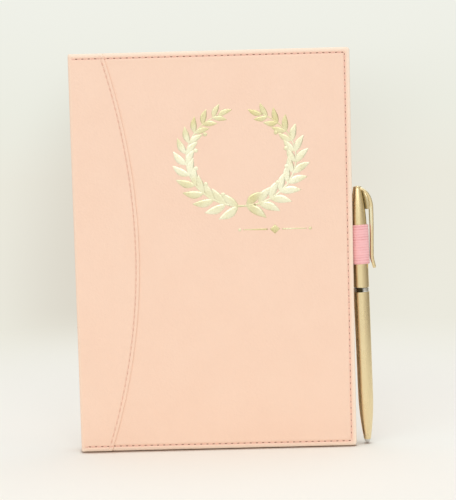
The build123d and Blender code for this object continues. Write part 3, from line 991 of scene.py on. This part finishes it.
def wreath_parts():
    """Two branches that start crossed at the bottom and rise on both sides, with leaves and berries."""
    parts = []
    for hand in (-1, 1):
        stem = np.radians(np.linspace(-104, 66, stem_points))
        stem_x = wreath_x + hand * wreath_half_width * np.cos(stem)
        stem_z = wreath_z + wreath_half_height * np.sin(stem)
        parts.append(ribbon(stem_x, stem_z, np.linspace(1.3, 0.6, stem_points)))
        spot = np.radians(np.linspace(-86, 60, leaf_pairs))
        x = wreath_x + hand * wreath_half_width * np.cos(spot)
        z = wreath_z + wreath_half_height * np.sin(spot)
        ahead = np.arctan2(wreath_half_height * np.cos(spot), -hand * wreath_half_width * np.sin(spot))
        size = np.linspace(13.0, 8.5, leaf_pairs)
        parts.append(leaf_plates(x, z, ahead - hand * leaf_spread, size, 0.40 * size))
        parts.append(leaf_plates(x, z, ahead + hand * leaf_spread, 0.92 * size, 0.38 * size))
        tip = slice(-1, None)
        tip_turn = ahead[tip] + hand * 0.1
        parts.append(leaf_plates(stem_x[tip], stem_z[tip], tip_turn, size[tip], 0.38 * size[tip]))
        berry = spot[1:-1:2] + 0.12
        berry_x = wreath_x + hand * (wreath_half_width - berry_inset) * np.cos(berry)
        berry_z = wreath_z + (wreath_half_height - berry_inset) * np.sin(berry)
        parts.append(dots(berry_x, berry_z, np.full(len(berry), berry_radius)))
    return parts


def rule_parts():
    """A lozenge between two thin tapered lines, with a dot at each outer end."""
    parts = []
    for hand in (-1, 1):
        x = rule_x + hand * np.linspace(4.0, half_rule - 2.0, 16)
        parts.append(ribbon(x, np.full(16, rule_z), np.linspace(0.95, 0.5, 16)))
        parts.append(dots(np.array([rule_x + hand * half_rule]), np.array([rule_z]), np.array([0.8])))
    lozenge = np.linspace(-half_lozenge, half_lozenge, 9)
    parts.append(ribbon(rule_x + lozenge, np.full(9, rule_z), 2 * (2.75 - np.abs(lozenge))))
    return parts


ornament = make_piece("foil_ornament", *join_parts(wreath_parts() + rule_parts()))
close_seams(ornament, outward=False)
thicken(ornament, foil_backing)
ornament.data.materials.append(foil)
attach(ornament, "front_cover")
print(ornament.name, len(ornament.data.polygons), "faces")

# %% [markdown]
# ## Boards and linings
# Grey boards stiffen the covers and the spine, and a sheet of pale paper lines each cover inside.
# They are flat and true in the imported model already, so they keep their meshes and only get a finish.
# Both finishes use one group for paper fibres: short streaks and a cloud.

# %% Fibre group and flat finishes
fibre_group, fibre_in, fibre_out = new_group(
    "paper_fibre", [("Place", "Vector"), ("Fineness", "Float")], [("Streak", "Float"), ("Cloud", "Float")]
)
place = fibre_in.outputs["Place"]
stretched = add_node(fibre_group, "Mapping", {"Vector": place, "Scale": (1.0, 1.0, 0.35)}).outputs[0]
streak = noise(fibre_group, stretched, fibre_in.outputs["Fineness"], 4.0)
fibre_group.links.new(streak, fibre_out.inputs["Streak"])
fibre_group.links.new(noise(fibre_group, place, 60.0), fibre_out.inputs["Cloud"])


def make_paper(name, light, dark, fineness, relief):
    """A fibrous matt finish between two tones."""
    finish, tree, shader = new_finish(name, Specular_IOR_Level=0.25)
    fibre = use_group(tree, fibre_group, Place=object_place(tree), Fineness=fineness)
    streak = fibre.outputs["Streak"]
    tone = mixed(tree, between(tree, streak, 0.3, 0.7), dark, light)
    tone = mixed(tree, between(tree, fibre.outputs["Cloud"], 0.4, 0.7, 0.0, 0.25), tone, dark)
    wire(tree, shader, tone, between(tree, streak, 0.2, 0.8, 0.82, 0.95), streak, relief)
    return finish


def dress(node, finish):
    """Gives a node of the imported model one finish."""
    mesh = frame["nodes"][node].data
    mesh.materials.clear()
    mesh.materials.append(finish)


greyboard = make_paper("greyboard", (0.40, 0.37, 0.32, 1), (0.28, 0.255, 0.22, 1), 700.0, 0.5)
lining_paper = make_paper("lining_paper", (0.88, 0.80, 0.71, 1), (0.83, 0.745, 0.655, 1), 1500.0, 0.2)
for node in ("front_board", "back_board", "spine_board"):
    dress(node, greyboard)
for node in ("front_lining", "back_lining"):
    dress(node, lining_paper)
print("boards and linings dressed")

# %% [markdown]
# ## Page sections
# The book is a block of twelve sections, each cut back below its tab, so the tabs step down the fore-edge.
# A section could be one slab, but a real block shows its leaves at head, tail and fore-edge.
# So each section is five leaves: an outline with soft corners, given a thickness, each a hair out of line.

# %% Paper with ruled lines
leaf_low, leaf_high = in_mm(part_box("pages_xyz"))
tab_width = 7.0
tab_line = (leaf_high[0] - tab_width) * MM
ruling, half_line = 7.5 * MM, 0.02
inner_margin, outer_margin, foot_margin, head_margin = 12, 5, 14, 18
page_dark, page_light = (0.86, 0.82, 0.74, 1), (0.91, 0.88, 0.81, 1)
line_tone, tab_tone = (0.66, 0.50, 0.44, 1), (0.88, 0.66, 0.56, 1)
page_paper, tree, shader = new_finish("ruled_page_paper", Specular_IOR_Level=0.2)
place = object_place(tree)
fibre = use_group(tree, fibre_group, Place=place, Fineness=1300.0)
spot = add_node(tree, "SeparateXYZ", {0: place})
sideways, upwards = spot.outputs["X"], spot.outputs["Z"]
step = sums(tree, "FRACT", sums(tree, "DIVIDE", upwards, ruling))
line = sums(tree, "LESS_THAN", sums(tree, "ABSOLUTE", sums(tree, "SUBTRACT", step, 0.5)), half_line)
inside = product(
    tree,
    sums(tree, "GREATER_THAN", sideways, (leaf_low[0] + inner_margin) * MM),
    sums(tree, "LESS_THAN", sideways, tab_line - outer_margin * MM),
    sums(tree, "GREATER_THAN", upwards, (leaf_low[2] + foot_margin) * MM),
    sums(tree, "LESS_THAN", upwards, (leaf_high[2] - head_margin) * MM),
)
tab = between(tree, sideways, tab_line, tab_line + 0.4 * MM)
sheet = mixed(tree, between(tree, fibre.outputs["Streak"], 0.3, 0.7), page_dark, page_light)
sheet = mixed(tree, product(tree, line, inside, 0.75), sheet, line_tone)
sheet = mixed(tree, product(tree, tab, 0.6), sheet, tab_tone)
matt_share = between(tree, fibre.outputs["Cloud"], 0.3, 0.7, 0.84, 0.94)
wire(tree, shader, sheet, matt_share, fibre.outputs["Streak"], 0.15)

# %% Leaves
section_names = ("ab", "cd", "ef", "gh", "ij", "kl", "mn", "op", "qr", "st", "uvw", "xyz")
leaves_in_section, leaf_gap, most_slip = 5, 0.016, 0.3
page_corner, tab_corner, notch_corner, spine_corner = 2.0, 1.6, 0.8, 0.1
leaf_rng = np.random.default_rng(12)


def soft_corners(corners, radii, steps=5):
    """A closed outline with each corner replaced by an arc: a quadratic curve from one side to the other."""
    corners = np.asarray(corners, float)
    radii = np.asarray(radii, float)[:, None]
    before = np.roll(corners, 1, 0) - corners
    after = np.roll(corners, -1, 0) - corners
    start = corners + radii * before / np.linalg.norm(before, axis=1, keepdims=True)
    end = corners + radii * after / np.linalg.norm(after, axis=1, keepdims=True)
    t = np.linspace(0, 1, steps)[None, :, None]
    curve = (1 - t) ** 2 * start[:, None] + 2 * t * (1 - t) * corners[:, None] + t**2 * end[:, None]
    return curve.reshape(-1, 2)


def leaf_outline(index, slip):
    """The outline of a leaf of a section: full at its own tab and above, cut back below it."""
    left, low = leaf_low[0], leaf_low[2] + slip[0]
    right, high = leaf_high[0] - slip[1], leaf_high[2] - slip[2]
    if index == len(section_names) - 1:
        corners = [(left, low), (right, low), (right, high), (left, high)]
        return soft_corners(corners, [spine_corner, page_corner, page_corner, spine_corner])
    step = leaf_high[2] - (index + 1) * (leaf_high[2] - leaf_low[2]) / len(section_names)
    cut = right - tab_width
    corners = [(left, low), (cut, low), (cut, step), (right, step), (right, high), (left, high)]
    radii = [spine_corner, page_corner, notch_corner, tab_corner, page_corner, spine_corner]
    return soft_corners(corners, radii)


def make_section(index, name):
    """Leaves of one section as closed plates: two outlines joined by a wall, and a face on each."""
    node_low, node_high = in_mm(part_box("pages_" + name))
    pitch = (node_high[1] - node_low[1]) / leaves_in_section
    points, faces, count = [], [], 0
    for leaf in range(leaves_in_section):
        outline = leaf_outline(index, leaf_rng.uniform(0.0, most_slip, 3))
        size = len(outline)
        front = node_low[1] + leaf * pitch + leaf_gap / 2
        back = front + pitch - leaf_gap
        for y in (front, back):
            points.append(np.column_stack([outline[:, 0], np.full(size, y), outline[:, 1]]))
        faces += (grid_faces(2, size, ring_columns=True)[:, ::-1] + count).tolist()
        faces.append((np.arange(size) + count).tolist())
        faces.append((np.arange(size)[::-1] + size + count).tolist())
        count += 2 * size
    mesh = bpy.data.meshes.new("section_" + name)
    mesh.from_pydata((np.concatenate(points) * MM).tolist(), [], faces)
    piece = bpy.data.objects.new("section_" + name, mesh)
    scene.collection.objects.link(piece)
    close_seams(piece)
    piece.data.materials.append(page_paper)
    return piece


for index, name in enumerate(section_names):
    section = make_section(index, name)
    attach(section, "back_cover" if name == "xyz" else "section_" + name)
    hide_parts("pages_" + name)
print(len(section_names), "sections of", leaves_in_section, "leaves")

# %% [markdown]
# ## The pen's own frame
# The pen leans by a degree, so it is drawn upright on its own axis and then stood in the loop.
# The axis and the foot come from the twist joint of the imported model, so the pen can't miss its place.

# %% Pen frame and turned pieces
twist_joint = next(joint for joint in frame["joints"] if joint["name"] == "pen_twist")
pen_foot = np.array(twist_joint["pos_m"]) / MM
pen_up = np.array(twist_joint["axis"]) / np.linalg.norm(twist_joint["axis"])
pen_side = np.array([pen_up[2], 0.0, -pen_up[0]])
pen_back = np.array([0.0, 1.0, 0.0])


def on_pen(x, y, z):
    """A place on the pen, from its two distances off the axis and its height along it."""
    x, y, z = np.broadcast_arrays(x, y, z)
    return pen_foot + x[..., None] * pen_side + y[..., None] * pen_back + z[..., None] * pen_up


def rounded(points, radius, steps=4):
    """A closed profile of radius and height with every corner eased by a small arc."""
    points = np.asarray(points, float)
    before = np.linalg.norm(np.roll(points, 1, 0) - points, axis=1)
    after = np.linalg.norm(np.roll(points, -1, 0) - points, axis=1)
    return soft_corners(points, np.minimum(radius, 0.45 * np.minimum(before, after)), steps)


def turned(name, profile, finish, body, node, shade_and_dark_reflection=None):
    """A profile swung round the pen's axis: x = r cos a, y = r sin a.
    It can carry painted shade and dark reflection about an angle, some degrees to both sides, from a height
    upwards and by a share."""
    sides = 80
    angle = full_turn(sides)[None, :]
    radius, height = profile[:, :1], profile[:, 1:]
    points = on_pen(radius * np.cos(angle), radius * np.sin(angle), height)
    marks = None
    if shade_and_dark_reflection:
        middle, reach, low, share = shade_and_dark_reflection
        off = np.abs((np.degrees(angle) - middle + 180) % 360 - 180)
        marks = {"shade_and_dark_reflection": share * (1 - ease(off, reach - 8, reach + 8)) * ease(height, low - 1, low)}
    faces = grid_faces(len(profile), sides, ring_rows=True, ring_columns=True)
    piece = close_seams(make_piece(name, points, faces, marks=marks))
    piece.data.materials.append(finish)
    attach(piece, body)
    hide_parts(node)
    print(name, len(piece.data.polygons), "faces")


def bulge(start, end, steps):
    """Points of an arc from a lower to a higher point that leaves the wider end straight up the barrel."""
    start, end = np.array(start, float), np.array(end, float)
    wide, narrow = (start, end) if start[0] > end[0] else (end, start)
    fall, rise = wide[0] - narrow[0], narrow[1] - wide[1]
    radius = (fall**2 + rise**2) / (2 * fall)
    height = np.linspace(start[1], end[1], steps)
    return np.column_stack([wide[0] - radius + np.sqrt(radius**2 - (height - wide[1]) ** 2), height])


# %% Metal finishes
painted_highlight_tone, painted_dark_tone = (0.99, 0.95, 0.76, 1), (0.05, 0.04, 0.022, 1)
brush_group, brush_in, brush_out = new_group(
    "satin_brush", [("Place", "Vector"), ("Fineness", "Float")], [("Streak", "Float"), ("Smudge", "Float")]
)
place = brush_in.outputs["Place"]
combed = add_node(brush_group, "Mapping", {"Vector": place, "Scale": (1.0, 1.0, 0.04)}).outputs[0]
comb = noise(brush_group, combed, brush_in.outputs["Fineness"], 3.0)
brush_group.links.new(comb, brush_out.inputs["Streak"])
brush_group.links.new(noise(brush_group, place, 90.0, 3.0), brush_out.inputs["Smudge"])


def make_metal(name, light, dark, gloss, fineness=2600.0, relief=0.01):
    """A metal finish: fine streaks along the piece, faint smudges, and a roughness that follows both.
    Marks on the mesh paint it paler where a highlight is painted, and nearly black where shade and dark
    reflection are painted."""
    finish, tree, shader = new_finish(name, Metallic=1.0)
    brush = use_group(tree, brush_group, Place=object_place(tree), Fineness=fineness)
    streak, smudge = brush.outputs["Streak"], brush.outputs["Smudge"]
    colour = mixed(tree, smudge, dark, light)
    colour = mixed(tree, mark(tree, "wear_and_highlight"), colour, painted_highlight_tone)
    colour = mixed(tree, mark(tree, "shade_and_dark_reflection"), colour, painted_dark_tone)
    uneven = sums(tree, "MULTIPLY_ADD", streak, 0.06, sums(tree, "MULTIPLY", smudge, 0.06))
    wire(tree, shader, colour, sums(tree, "ADD", uneven, gloss - 0.06), streak, relief)
    return finish


champagne = make_metal("champagne_satin", (0.88, 0.74, 0.465, 1), (0.85, 0.70, 0.43, 1), 0.28)
bright = make_metal("bright_chrome", (0.82, 0.82, 0.80, 1), (0.74, 0.74, 0.73, 1), 0.12)
nib_metal = make_metal("nib_steel", (0.62, 0.60, 0.56, 1), (0.52, 0.50, 0.47, 1), 0.28)
print("metals ready")

# %% [markdown]
# ## Pen barrels
# The pen is a slim twist ballpoint in satin champagne metal, with a bright ring between its two barrels.
# Such barrels are really turned, so each is a profile swung round the axis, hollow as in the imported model.
# Every corner of a profile is eased, because a real turned edge catches a thin line of light.

# %% Pen sizes
pen_top = 141.0
barrel_radius, grip_radius, nose_radius, tip_radius = 4.3, 4.1, 1.85, 0.95
grip_height, nose_height, ring_height, ring_width, ring_radius = 28.0, 2.0, 83.6, 2.2, 4.1
neck_radius, neck_depth, refill_bore, nib_bore = 2.95, 14.0, 1.45, 0.7
seat_radius, seat_depth, spring_bore, spring_depth = 1.3, 3.5, 1.05, 1.75
cap_low, cap_shoulder, cap_top, cap_top_radius = 86.1, 117.6, 140.1, 2.3
cap_bore, stud_radius, stud_depth, axis_gap = 3.75, 1.1, 8.0, 0.02
# Painted dark reflection: a dark streak on the cap's side under the clip, and a black patch on the front of
# the ring.
cap_dark_reflection = (2.0, 26.0, 118.0, 0.7)
ring_dark_reflection = (254.0, 26.0, ring_height, 1.0)

# %% Pen barrels
neck_floor = ring_height - neck_depth
seat_top = nose_height + seat_depth
lower_outline = np.concatenate([
    bulge((nose_radius, nose_height), (grip_radius, grip_height), 24),
    [(grip_radius + 0.004, grip_height + 1.0), (barrel_radius - 0.004, ring_height - 1.0)],
    [(barrel_radius, ring_height - 0.4), (barrel_radius, ring_height), (neck_radius, ring_height)],
    [(neck_radius, neck_floor), (refill_bore, neck_floor), (refill_bore, seat_top)],
    [(seat_radius, seat_top), (seat_radius, nose_height)],
])
upper_outline = np.concatenate([
    [(cap_bore, cap_low), (barrel_radius, cap_low), (barrel_radius, cap_low + 0.4)],
    [(barrel_radius, cap_low + 1.0), (barrel_radius, cap_shoulder - 1.0)],
    bulge((barrel_radius, cap_shoulder), (cap_top_radius, cap_top), 22),
    [(stud_radius, cap_top), (stud_radius, cap_shoulder), (cap_bore, cap_shoulder)],
])
lower_profile, upper_profile = rounded(lower_outline, 0.18), rounded(upper_outline, 0.16)
turned("pen_lower_barrel_satin", lower_profile, champagne, "pen_lower", "pen_lower_barrel")
turned(
    "pen_upper_barrel_satin", upper_profile, champagne,
    "pen_upper", "pen_upper_barrel", cap_dark_reflection,
)

# %% Ring, tip and stud
ring_top = ring_height + ring_width
ring_outline = [
    (neck_radius, ring_height), (ring_radius, ring_height), (ring_radius, ring_top), (neck_radius, ring_top),
]
spring_top = nose_height + spring_depth
tip_outline = [
    (nib_bore, 0.0), (tip_radius, 0.0), (nose_radius, nose_height), (seat_radius, nose_height),
    (seat_radius, seat_top), (spring_bore, seat_top), (spring_bore, spring_top), (nib_bore, spring_top),
]
stud_foot = pen_top - stud_depth
stud_outline = [
    (axis_gap, stud_foot), (stud_radius, stud_foot), (stud_radius, pen_top + 0.1), (0.75, pen_top + 0.27),
    (axis_gap, pen_top + 0.3),
]
ring_profile, tip_profile = rounded(ring_outline, 0.3), rounded(tip_outline, 0.12)
stud_profile = rounded(stud_outline, 0.15)
turned(
    "pen_centre_ring_bright", ring_profile, bright,
    "pen_lower", "pen_centre_ring", ring_dark_reflection,
)
turned("pen_nose_tip_bright", tip_profile, bright, "pen_lower", "pen_nose_tip")
turned("pen_clip_stud_satin", stud_profile, champagne, "pen_upper", "pen_clip_stud")

# %% [markdown]
# ## Clip
# The clip springs from an eye on the flat top, arches out, runs down by the barrel and flares at its end.
# Under the arch a web stiffens it, narrower than the strip and clear of the barrel.
# The web runs out along the strip's inner side.
# The sides that face the barrel carry painted shade and dark reflection, and the outer side of the arch a
# painted highlight.
# It could be bent with a modifier, but a strip carried along its own line keeps the imported model's path.

# %% Clip line
clip_thickness, clip_root_width, clip_end_width = 1.8, 4.4, 3.4
clip_turn = np.radians(2.0)
arch_fall, arch_reach = 11.5, 7.3
waist_reach, waist_fall, end_reach, end_fall = 6.55, 37.8, 7.67, 44.6
web_fall, web_inset, web_gap = 12.4, 0.45, 0.3
arch_base, arch_rise = pen_top - arch_fall, arch_fall - clip_thickness / 2


def on_clip(reach, across, height):
    """A place on the clip, from its reach off the pen's axis, its distance across and its height."""
    cos, sin = np.cos(clip_turn), np.sin(clip_turn)
    return on_pen(reach * cos - across * sin, reach * sin + across * cos, height)


def clip_line():
    """The clip's centre line as reach against height: a quarter of an ellipse, then two cubic runs."""
    turn = np.linspace(np.radians(80), 0, 24)
    runs = [np.column_stack([arch_reach * np.cos(turn), arch_base + arch_rise * np.sin(turn)])]
    first, second = waist_fall - arch_fall, end_fall - waist_fall
    straight, flare = (waist_reach - arch_reach) / first, (end_reach - waist_reach) / second
    for length, a, b, leave, arrive, top, steps in (
        (first, arch_reach, waist_reach, 0.0, straight, arch_base, 30),
        (second, waist_reach, end_reach, straight, flare, arch_base - first, 14),
    ):
        t = np.linspace(0, 1, steps)[1:]
        bend = length * t * (1 - t) * (leave * (1 - t) - arrive * t)
        runs.append(np.column_stack([a + (b - a) * t**2 * (3 - 2 * t) + bend, top - length * t]))
    return np.concatenate(runs)


print("clip line", len(clip_line()), "points")

# %% Clip strip
strip_sides = 28
web_depth, web_lost = 0.7, 0.38


def capped(rings):
    """Rings with both ends closed, each by a ring that is all one point in the middle of the last."""
    first, last = (np.broadcast_to(ring.mean(0), (1, *ring.shape)) for ring in (rings[0], rings[-1]))
    return np.concatenate([first, rings, last])


def end_rows(values):
    """The first and the last row once more, for the points that close a strip's ends."""
    return np.pad(values, ((1, 1), (0, 0)), "edge")


def clip_strip():
    """A flat oval section, |w|^3 + |h|^3 = 1, carried along the line and narrowing to its end.
    Below the web its inner half is deeper and runs out to nothing."""
    line = clip_line()
    run = np.gradient(line, axis=0)
    run /= np.linalg.norm(run, axis=1, keepdims=True)
    gone = np.linspace(0, 1, len(line))
    narrowed = ease(line[:, 1], pen_top, pen_top - end_fall)
    half_width = 0.5 * (clip_root_width + (clip_end_width - clip_root_width) * narrowed)
    close = np.where(gone > 0.985, 0.8, 1.0)
    turn = full_turn(strip_sides)[None, :]
    across = np.sign(np.cos(turn)) * np.abs(np.cos(turn)) ** (2 / 3) * (half_width * close)[:, None]
    fall = pen_top - line[:, 1:]
    side = np.sign(np.sin(turn)) * np.abs(np.sin(turn)) ** (2 / 3)
    run_out = web_depth - web_lost * ease(fall, web_fall + 2.0, web_fall + 14.0)
    deeper = ease(fall, 4.0, web_fall - 1.0) * run_out * (1 - ease(fall, 38.0, 43.0))
    through = side * (clip_thickness / 2 * close[:, None] + np.where(side < 0, deeper, 0.0))
    reach = line[:, :1] - through * run[:, 1:]
    height = line[:, 1:] + through * run[:, :1]
    rings = capped(on_clip(reach, across, height))
    # Painted shade and dark reflection on the strip's inner side by the loop, and a painted highlight on the
    # arch and beside the web.
    shade_and_dark_reflection = 0.7 * ease(-side, 0.7, 0.95) * ease(fall, 20, 28) * (1 - ease(fall, 39, 43))
    wear_and_highlight = ease(side, 0.3, 0.8) * (1 - ease(fall, arch_fall - 3, arch_fall + 3))
    near_web = ease(fall, web_fall - 2, web_fall) * (1 - ease(fall, 20, 26))
    wear_and_highlight = np.maximum(wear_and_highlight, bell(np.degrees(turn), 215.0, 30.0) * near_web)
    faces = grid_faces(len(rings), strip_sides, ring_columns=True)
    return rings.reshape(-1, 3), faces, end_rows(shade_and_dark_reflection), end_rows(wear_and_highlight)


# %% Clip web and eye
web_half_steps = 7
eye_sides = 48


def clip_web():
    """Rings from the web's lower edge up to where barrel and arch meet. A ring follows the barrel at a gap,
    as r = sqrt((R + gap)^2 - a^2) at distance a across, and the arch's own line."""
    up = np.concatenate([[0.0, 0.0, 0.15], np.linspace(0.6, web_fall - 1.3, 12)])[:, None]
    height = up + pen_top - web_fall
    half = (clip_root_width / 2 - web_inset) * np.concatenate([[0.0, 0.92], np.ones(13)])[:, None]
    narrower, taper = barrel_radius - cap_top_radius, cap_top - cap_shoulder
    taper_radius = (narrower**2 + taper**2) / (2 * narrower)
    barrel = barrel_radius - taper_radius + np.sqrt(taper_radius**2 - (height - cap_shoulder) ** 2)
    v = np.linspace(-1, 1, web_half_steps)[None, :]
    arch = arch_reach * np.sqrt(np.clip(1 - ((height - arch_base) / arch_rise) ** 2, 0, 1)) + 0 * v
    near = np.minimum(np.sqrt((barrel + web_gap) ** 2 - (half * v) ** 2), arch)
    reach = np.concatenate([near, arch[:, ::-1]], 1)
    rings = on_clip(reach, np.concatenate([half * v, half * v[:, ::-1]], 1), height)
    top = np.broadcast_to(rings[-1].mean(0), (1, 2 * web_half_steps, 3))
    rings = np.concatenate([rings, top])
    # Painted shade on the web's side that faces the barrel.
    shaded_side = np.concatenate([np.full(web_half_steps, 0.5), np.zeros(web_half_steps)])
    shade_and_dark_reflection = np.broadcast_to(shaded_side, rings.shape[:2])
    return rings.reshape(-1, 3), grid_faces(len(rings), rings.shape[1], ring_columns=True), shade_and_dark_reflection, 0 * shade_and_dark_reflection


def clip_eye():
    """The eye: an eased ring round the stud, on the flat top of the barrel."""
    inner, outer = stud_radius, cap_top_radius
    profile = rounded([(inner, cap_top), (outer, cap_top), (outer, pen_top), (inner, pen_top)], 0.25)
    angle = full_turn(eye_sides)[None, :]
    rings = on_pen(profile[:, :1] * np.cos(angle), profile[:, :1] * np.sin(angle), profile[:, 1:])
    plain = np.zeros(rings.shape[:2])
    return rings.reshape(-1, 3), grid_faces(len(profile), eye_sides, True, True), plain, plain


clip_parts = [clip_strip(), clip_web(), clip_eye()]
shade_and_dark_reflection, wear_and_highlight = (np.concatenate([part[column].ravel() for part in clip_parts]) for column in (2, 3))
clip_shape = join_parts([part[:2] for part in clip_parts])
clip = close_seams(make_piece("pen_clip_satin", *clip_shape, marks={"shade_and_dark_reflection": shade_and_dark_reflection, "wear_and_highlight": wear_and_highlight}))
clip.data.materials.append(champagne)
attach(clip, "pen_upper")
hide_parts("pen_clip")
print(clip.name, len(clip.data.polygons), "faces")

# %% [markdown]
# ## Inside the pen
# Neck, sleeve, plunger, refill tube, nib and ball are out of sight, until a twist brings out the nib.
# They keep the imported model's turned shapes and get plain metal and plastic finishes, a little uneven.

# %% Inside the pen
mechanism, tree, shader = new_finish("mechanism_plastic", IOR=1.5)
cloudy = use_group(tree, fibre_group, Place=object_place(tree), Fineness=900.0)
plastic = mixed(tree, cloudy.outputs["Cloud"], (0.30, 0.29, 0.28, 1), (0.36, 0.35, 0.33, 1))
wire(tree, shader, plastic, between(tree, cloudy.outputs["Streak"], 0.2, 0.8, 0.4, 0.55))
for node in ("pen_twist_neck", "pen_twist_sleeve", "pen_refill_plunger"):
    dress(node, mechanism)
for node in ("pen_refill_tube", "pen_refill_nib", "pen_refill_ball"):
    dress(node, nib_metal)
print("inside of the pen dressed")

# %% [markdown]
# ## Elastic loop
# A band of ribbed pink elastic goes once round the pen, and both its tails run under the lining of the back.
# A bent strip with a bump map would look flat, so a wavy outline with ribs is carried along the path.
# The path leaves the cover, goes round the pen and comes back beside itself.

# %% Elastic finish
elastic_dark, elastic_light = (0.95, 0.51, 0.515, 1), (0.98, 0.585, 0.595, 1)
knit_tone, painted_groove_shade_tone = (0.86, 0.40, 0.41, 1), (0.76, 0.30, 0.31, 1)
elastic, tree, shader = new_finish(
    "ribbed_elastic", IOR=1.45, Specular_IOR_Level=0.2, Sheen_Weight=0.35, Sheen_Roughness=0.5
)
lay = add_node(tree, "UVMap", uv_map="lay").outputs[0]
knitting = {"Vector": lay, "Scale": 0.55, "Distortion": 1.2, "Detail": 2.0, "Detail Scale": 3.0}
knit = add_node(tree, "TexWave", knitting, bands_direction="X").outputs["Fac"]
fuzz = noise(tree, lay, 6.0, 3.0)
uneven = noise(tree, lay, 0.35)
# Painted shade: the grooves between the ribs and the round edges are tinted darker, unevenly.
painted_groove_shade = product(tree, mark(tree, "groove"), between(tree, uneven, 0.35, 0.65, 0.35, 0.9))
tone = mixed(tree, fuzz, elastic_dark, elastic_light)
tone = mixed(tree, product(tree, knit, 0.2), tone, knit_tone)
tone = mixed(tree, painted_groove_shade, tone, painted_groove_shade_tone)
wire(tree, shader, tone, between(tree, fuzz, 0.2, 0.8, 0.75, 0.95), knit, 0.25)

# %% Loop path and section
loop_height, loop_width, loop_thickness, loop_radius = 109.85, 21.4, 0.7, 4.5
tail_length, tail_bend, rib_pitch, rib_depth, edge_round = 12.0, 1.3, 1.4, 0.12, 0.25
rib_rng = np.random.default_rng(5)
lean = np.array([pen_up[0] / pen_up[2], 0.0])
ring_middle = pen_foot[:2] + lean * (loop_height - pen_foot[2])
band_radius = loop_radius + loop_thickness / 2
fore_x = spine_x + cover_width


def loop_path():
    """Plan of the band's middle: the outer tail slopes in to the pen, and the band goes round it clockwise.
    At the side of the cover it runs straight back and turns into the inner tail."""
    inner_y = ring_middle[1] + band_radius
    outer_y = inner_y + loop_thickness
    s = np.linspace(0, 1, 14)[:-1]
    outer_x = fore_x - tail_length + (ring_middle[0] - fore_x + tail_length) * s
    outer = np.column_stack([outer_x, outer_y - loop_thickness * ease(outer_x, fore_x - 0.5, ring_middle[0])])
    turn = np.radians(np.linspace(90, -180, 64))
    ring = ring_middle + band_radius * np.column_stack([np.cos(turn), np.sin(turn)])
    left_x = ring_middle[0] - band_radius
    straight_y = np.linspace(ring_middle[1], inner_y - tail_bend, 5)[1:]
    straight = np.column_stack([np.full(4, left_x), straight_y])
    curl = np.radians(np.linspace(0, 90, 8))[1:]
    curl_middle = np.array([left_x - tail_bend, inner_y - tail_bend])
    corner = curl_middle + tail_bend * np.column_stack([np.cos(curl), np.sin(curl)])
    inner_x = np.linspace(left_x - tail_bend, fore_x - tail_length, 6)[1:]
    inner = np.column_stack([inner_x, np.full(5, inner_y)])
    return np.concatenate([outer, ring, straight, corner, inner])


def loop_section():
    """Closed outline of the band across its width, with round edges.
    On both faces there are grooves of uneven depth, a squared cosine apart by the pitch."""
    up = np.linspace(-1, 1, 151) * (loop_width / 2 - edge_round)
    number = np.floor((up + loop_width / 2) / rib_pitch).astype(int)
    depth = rib_rng.uniform(0.35, 1.0, number.max() + 1)
    rib = depth[number] * (0.5 - 0.5 * np.cos(2 * np.pi * (up + loop_width / 2) / rib_pitch)) ** 2
    half = loop_thickness / 2 - rib_depth * rib
    up_all = np.concatenate([up, [loop_width / 2], up[::-1], [-loop_width / 2]])
    off = np.concatenate([half, [0.0], -half[::-1], [0.0]])
    groove = np.concatenate([rib, [0.3], rib[::-1], [0.3]])
    return up_all, off, groove


# %% Elastic loop
def make_loop():
    """The section carried along the path: off the band along the path's normal, and up along the pen."""
    path = loop_path()
    run = np.gradient(path, axis=0)
    run /= np.linalg.norm(run, axis=1, keepdims=True)
    normal = np.column_stack([-run[:, 1], run[:, 0]])
    length = np.concatenate([[0], np.cumsum(np.linalg.norm(np.diff(path, axis=0), axis=1))])
    up, off, groove = loop_section()
    wobble = 0.05 * np.sin(up[None, :] * 1.7 + length[:, None] * 0.35)
    plan = path[:, None, :] + normal[:, None, :] * (off[None, :, None] * (1 + wobble[..., None] * 0.4))
    height = loop_height + up + 0.12 * np.sin(length[:, None] * 0.5)
    shift = lean[0] * (height - loop_height)
    points = capped(stacked(plan[..., 0] + shift, plan[..., 1], height))
    rows, columns = points.shape[:2]
    length = np.concatenate([length[:1], length, length[-1:]])
    uv = stacked(length[:, None], up[None, :])
    marks = {"groove": np.broadcast_to(groove, (rows, columns))}
    faces = grid_faces(rows, columns, ring_columns=True)
    return close_seams(make_piece("pen_loop_elastic", points, faces, uv, marks))


loop = make_loop()
loop.data.materials.append(elastic)
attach(loop, "back_cover")
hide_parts("pen_loop")
print(loop.name, len(loop.data.polygons), "faces")
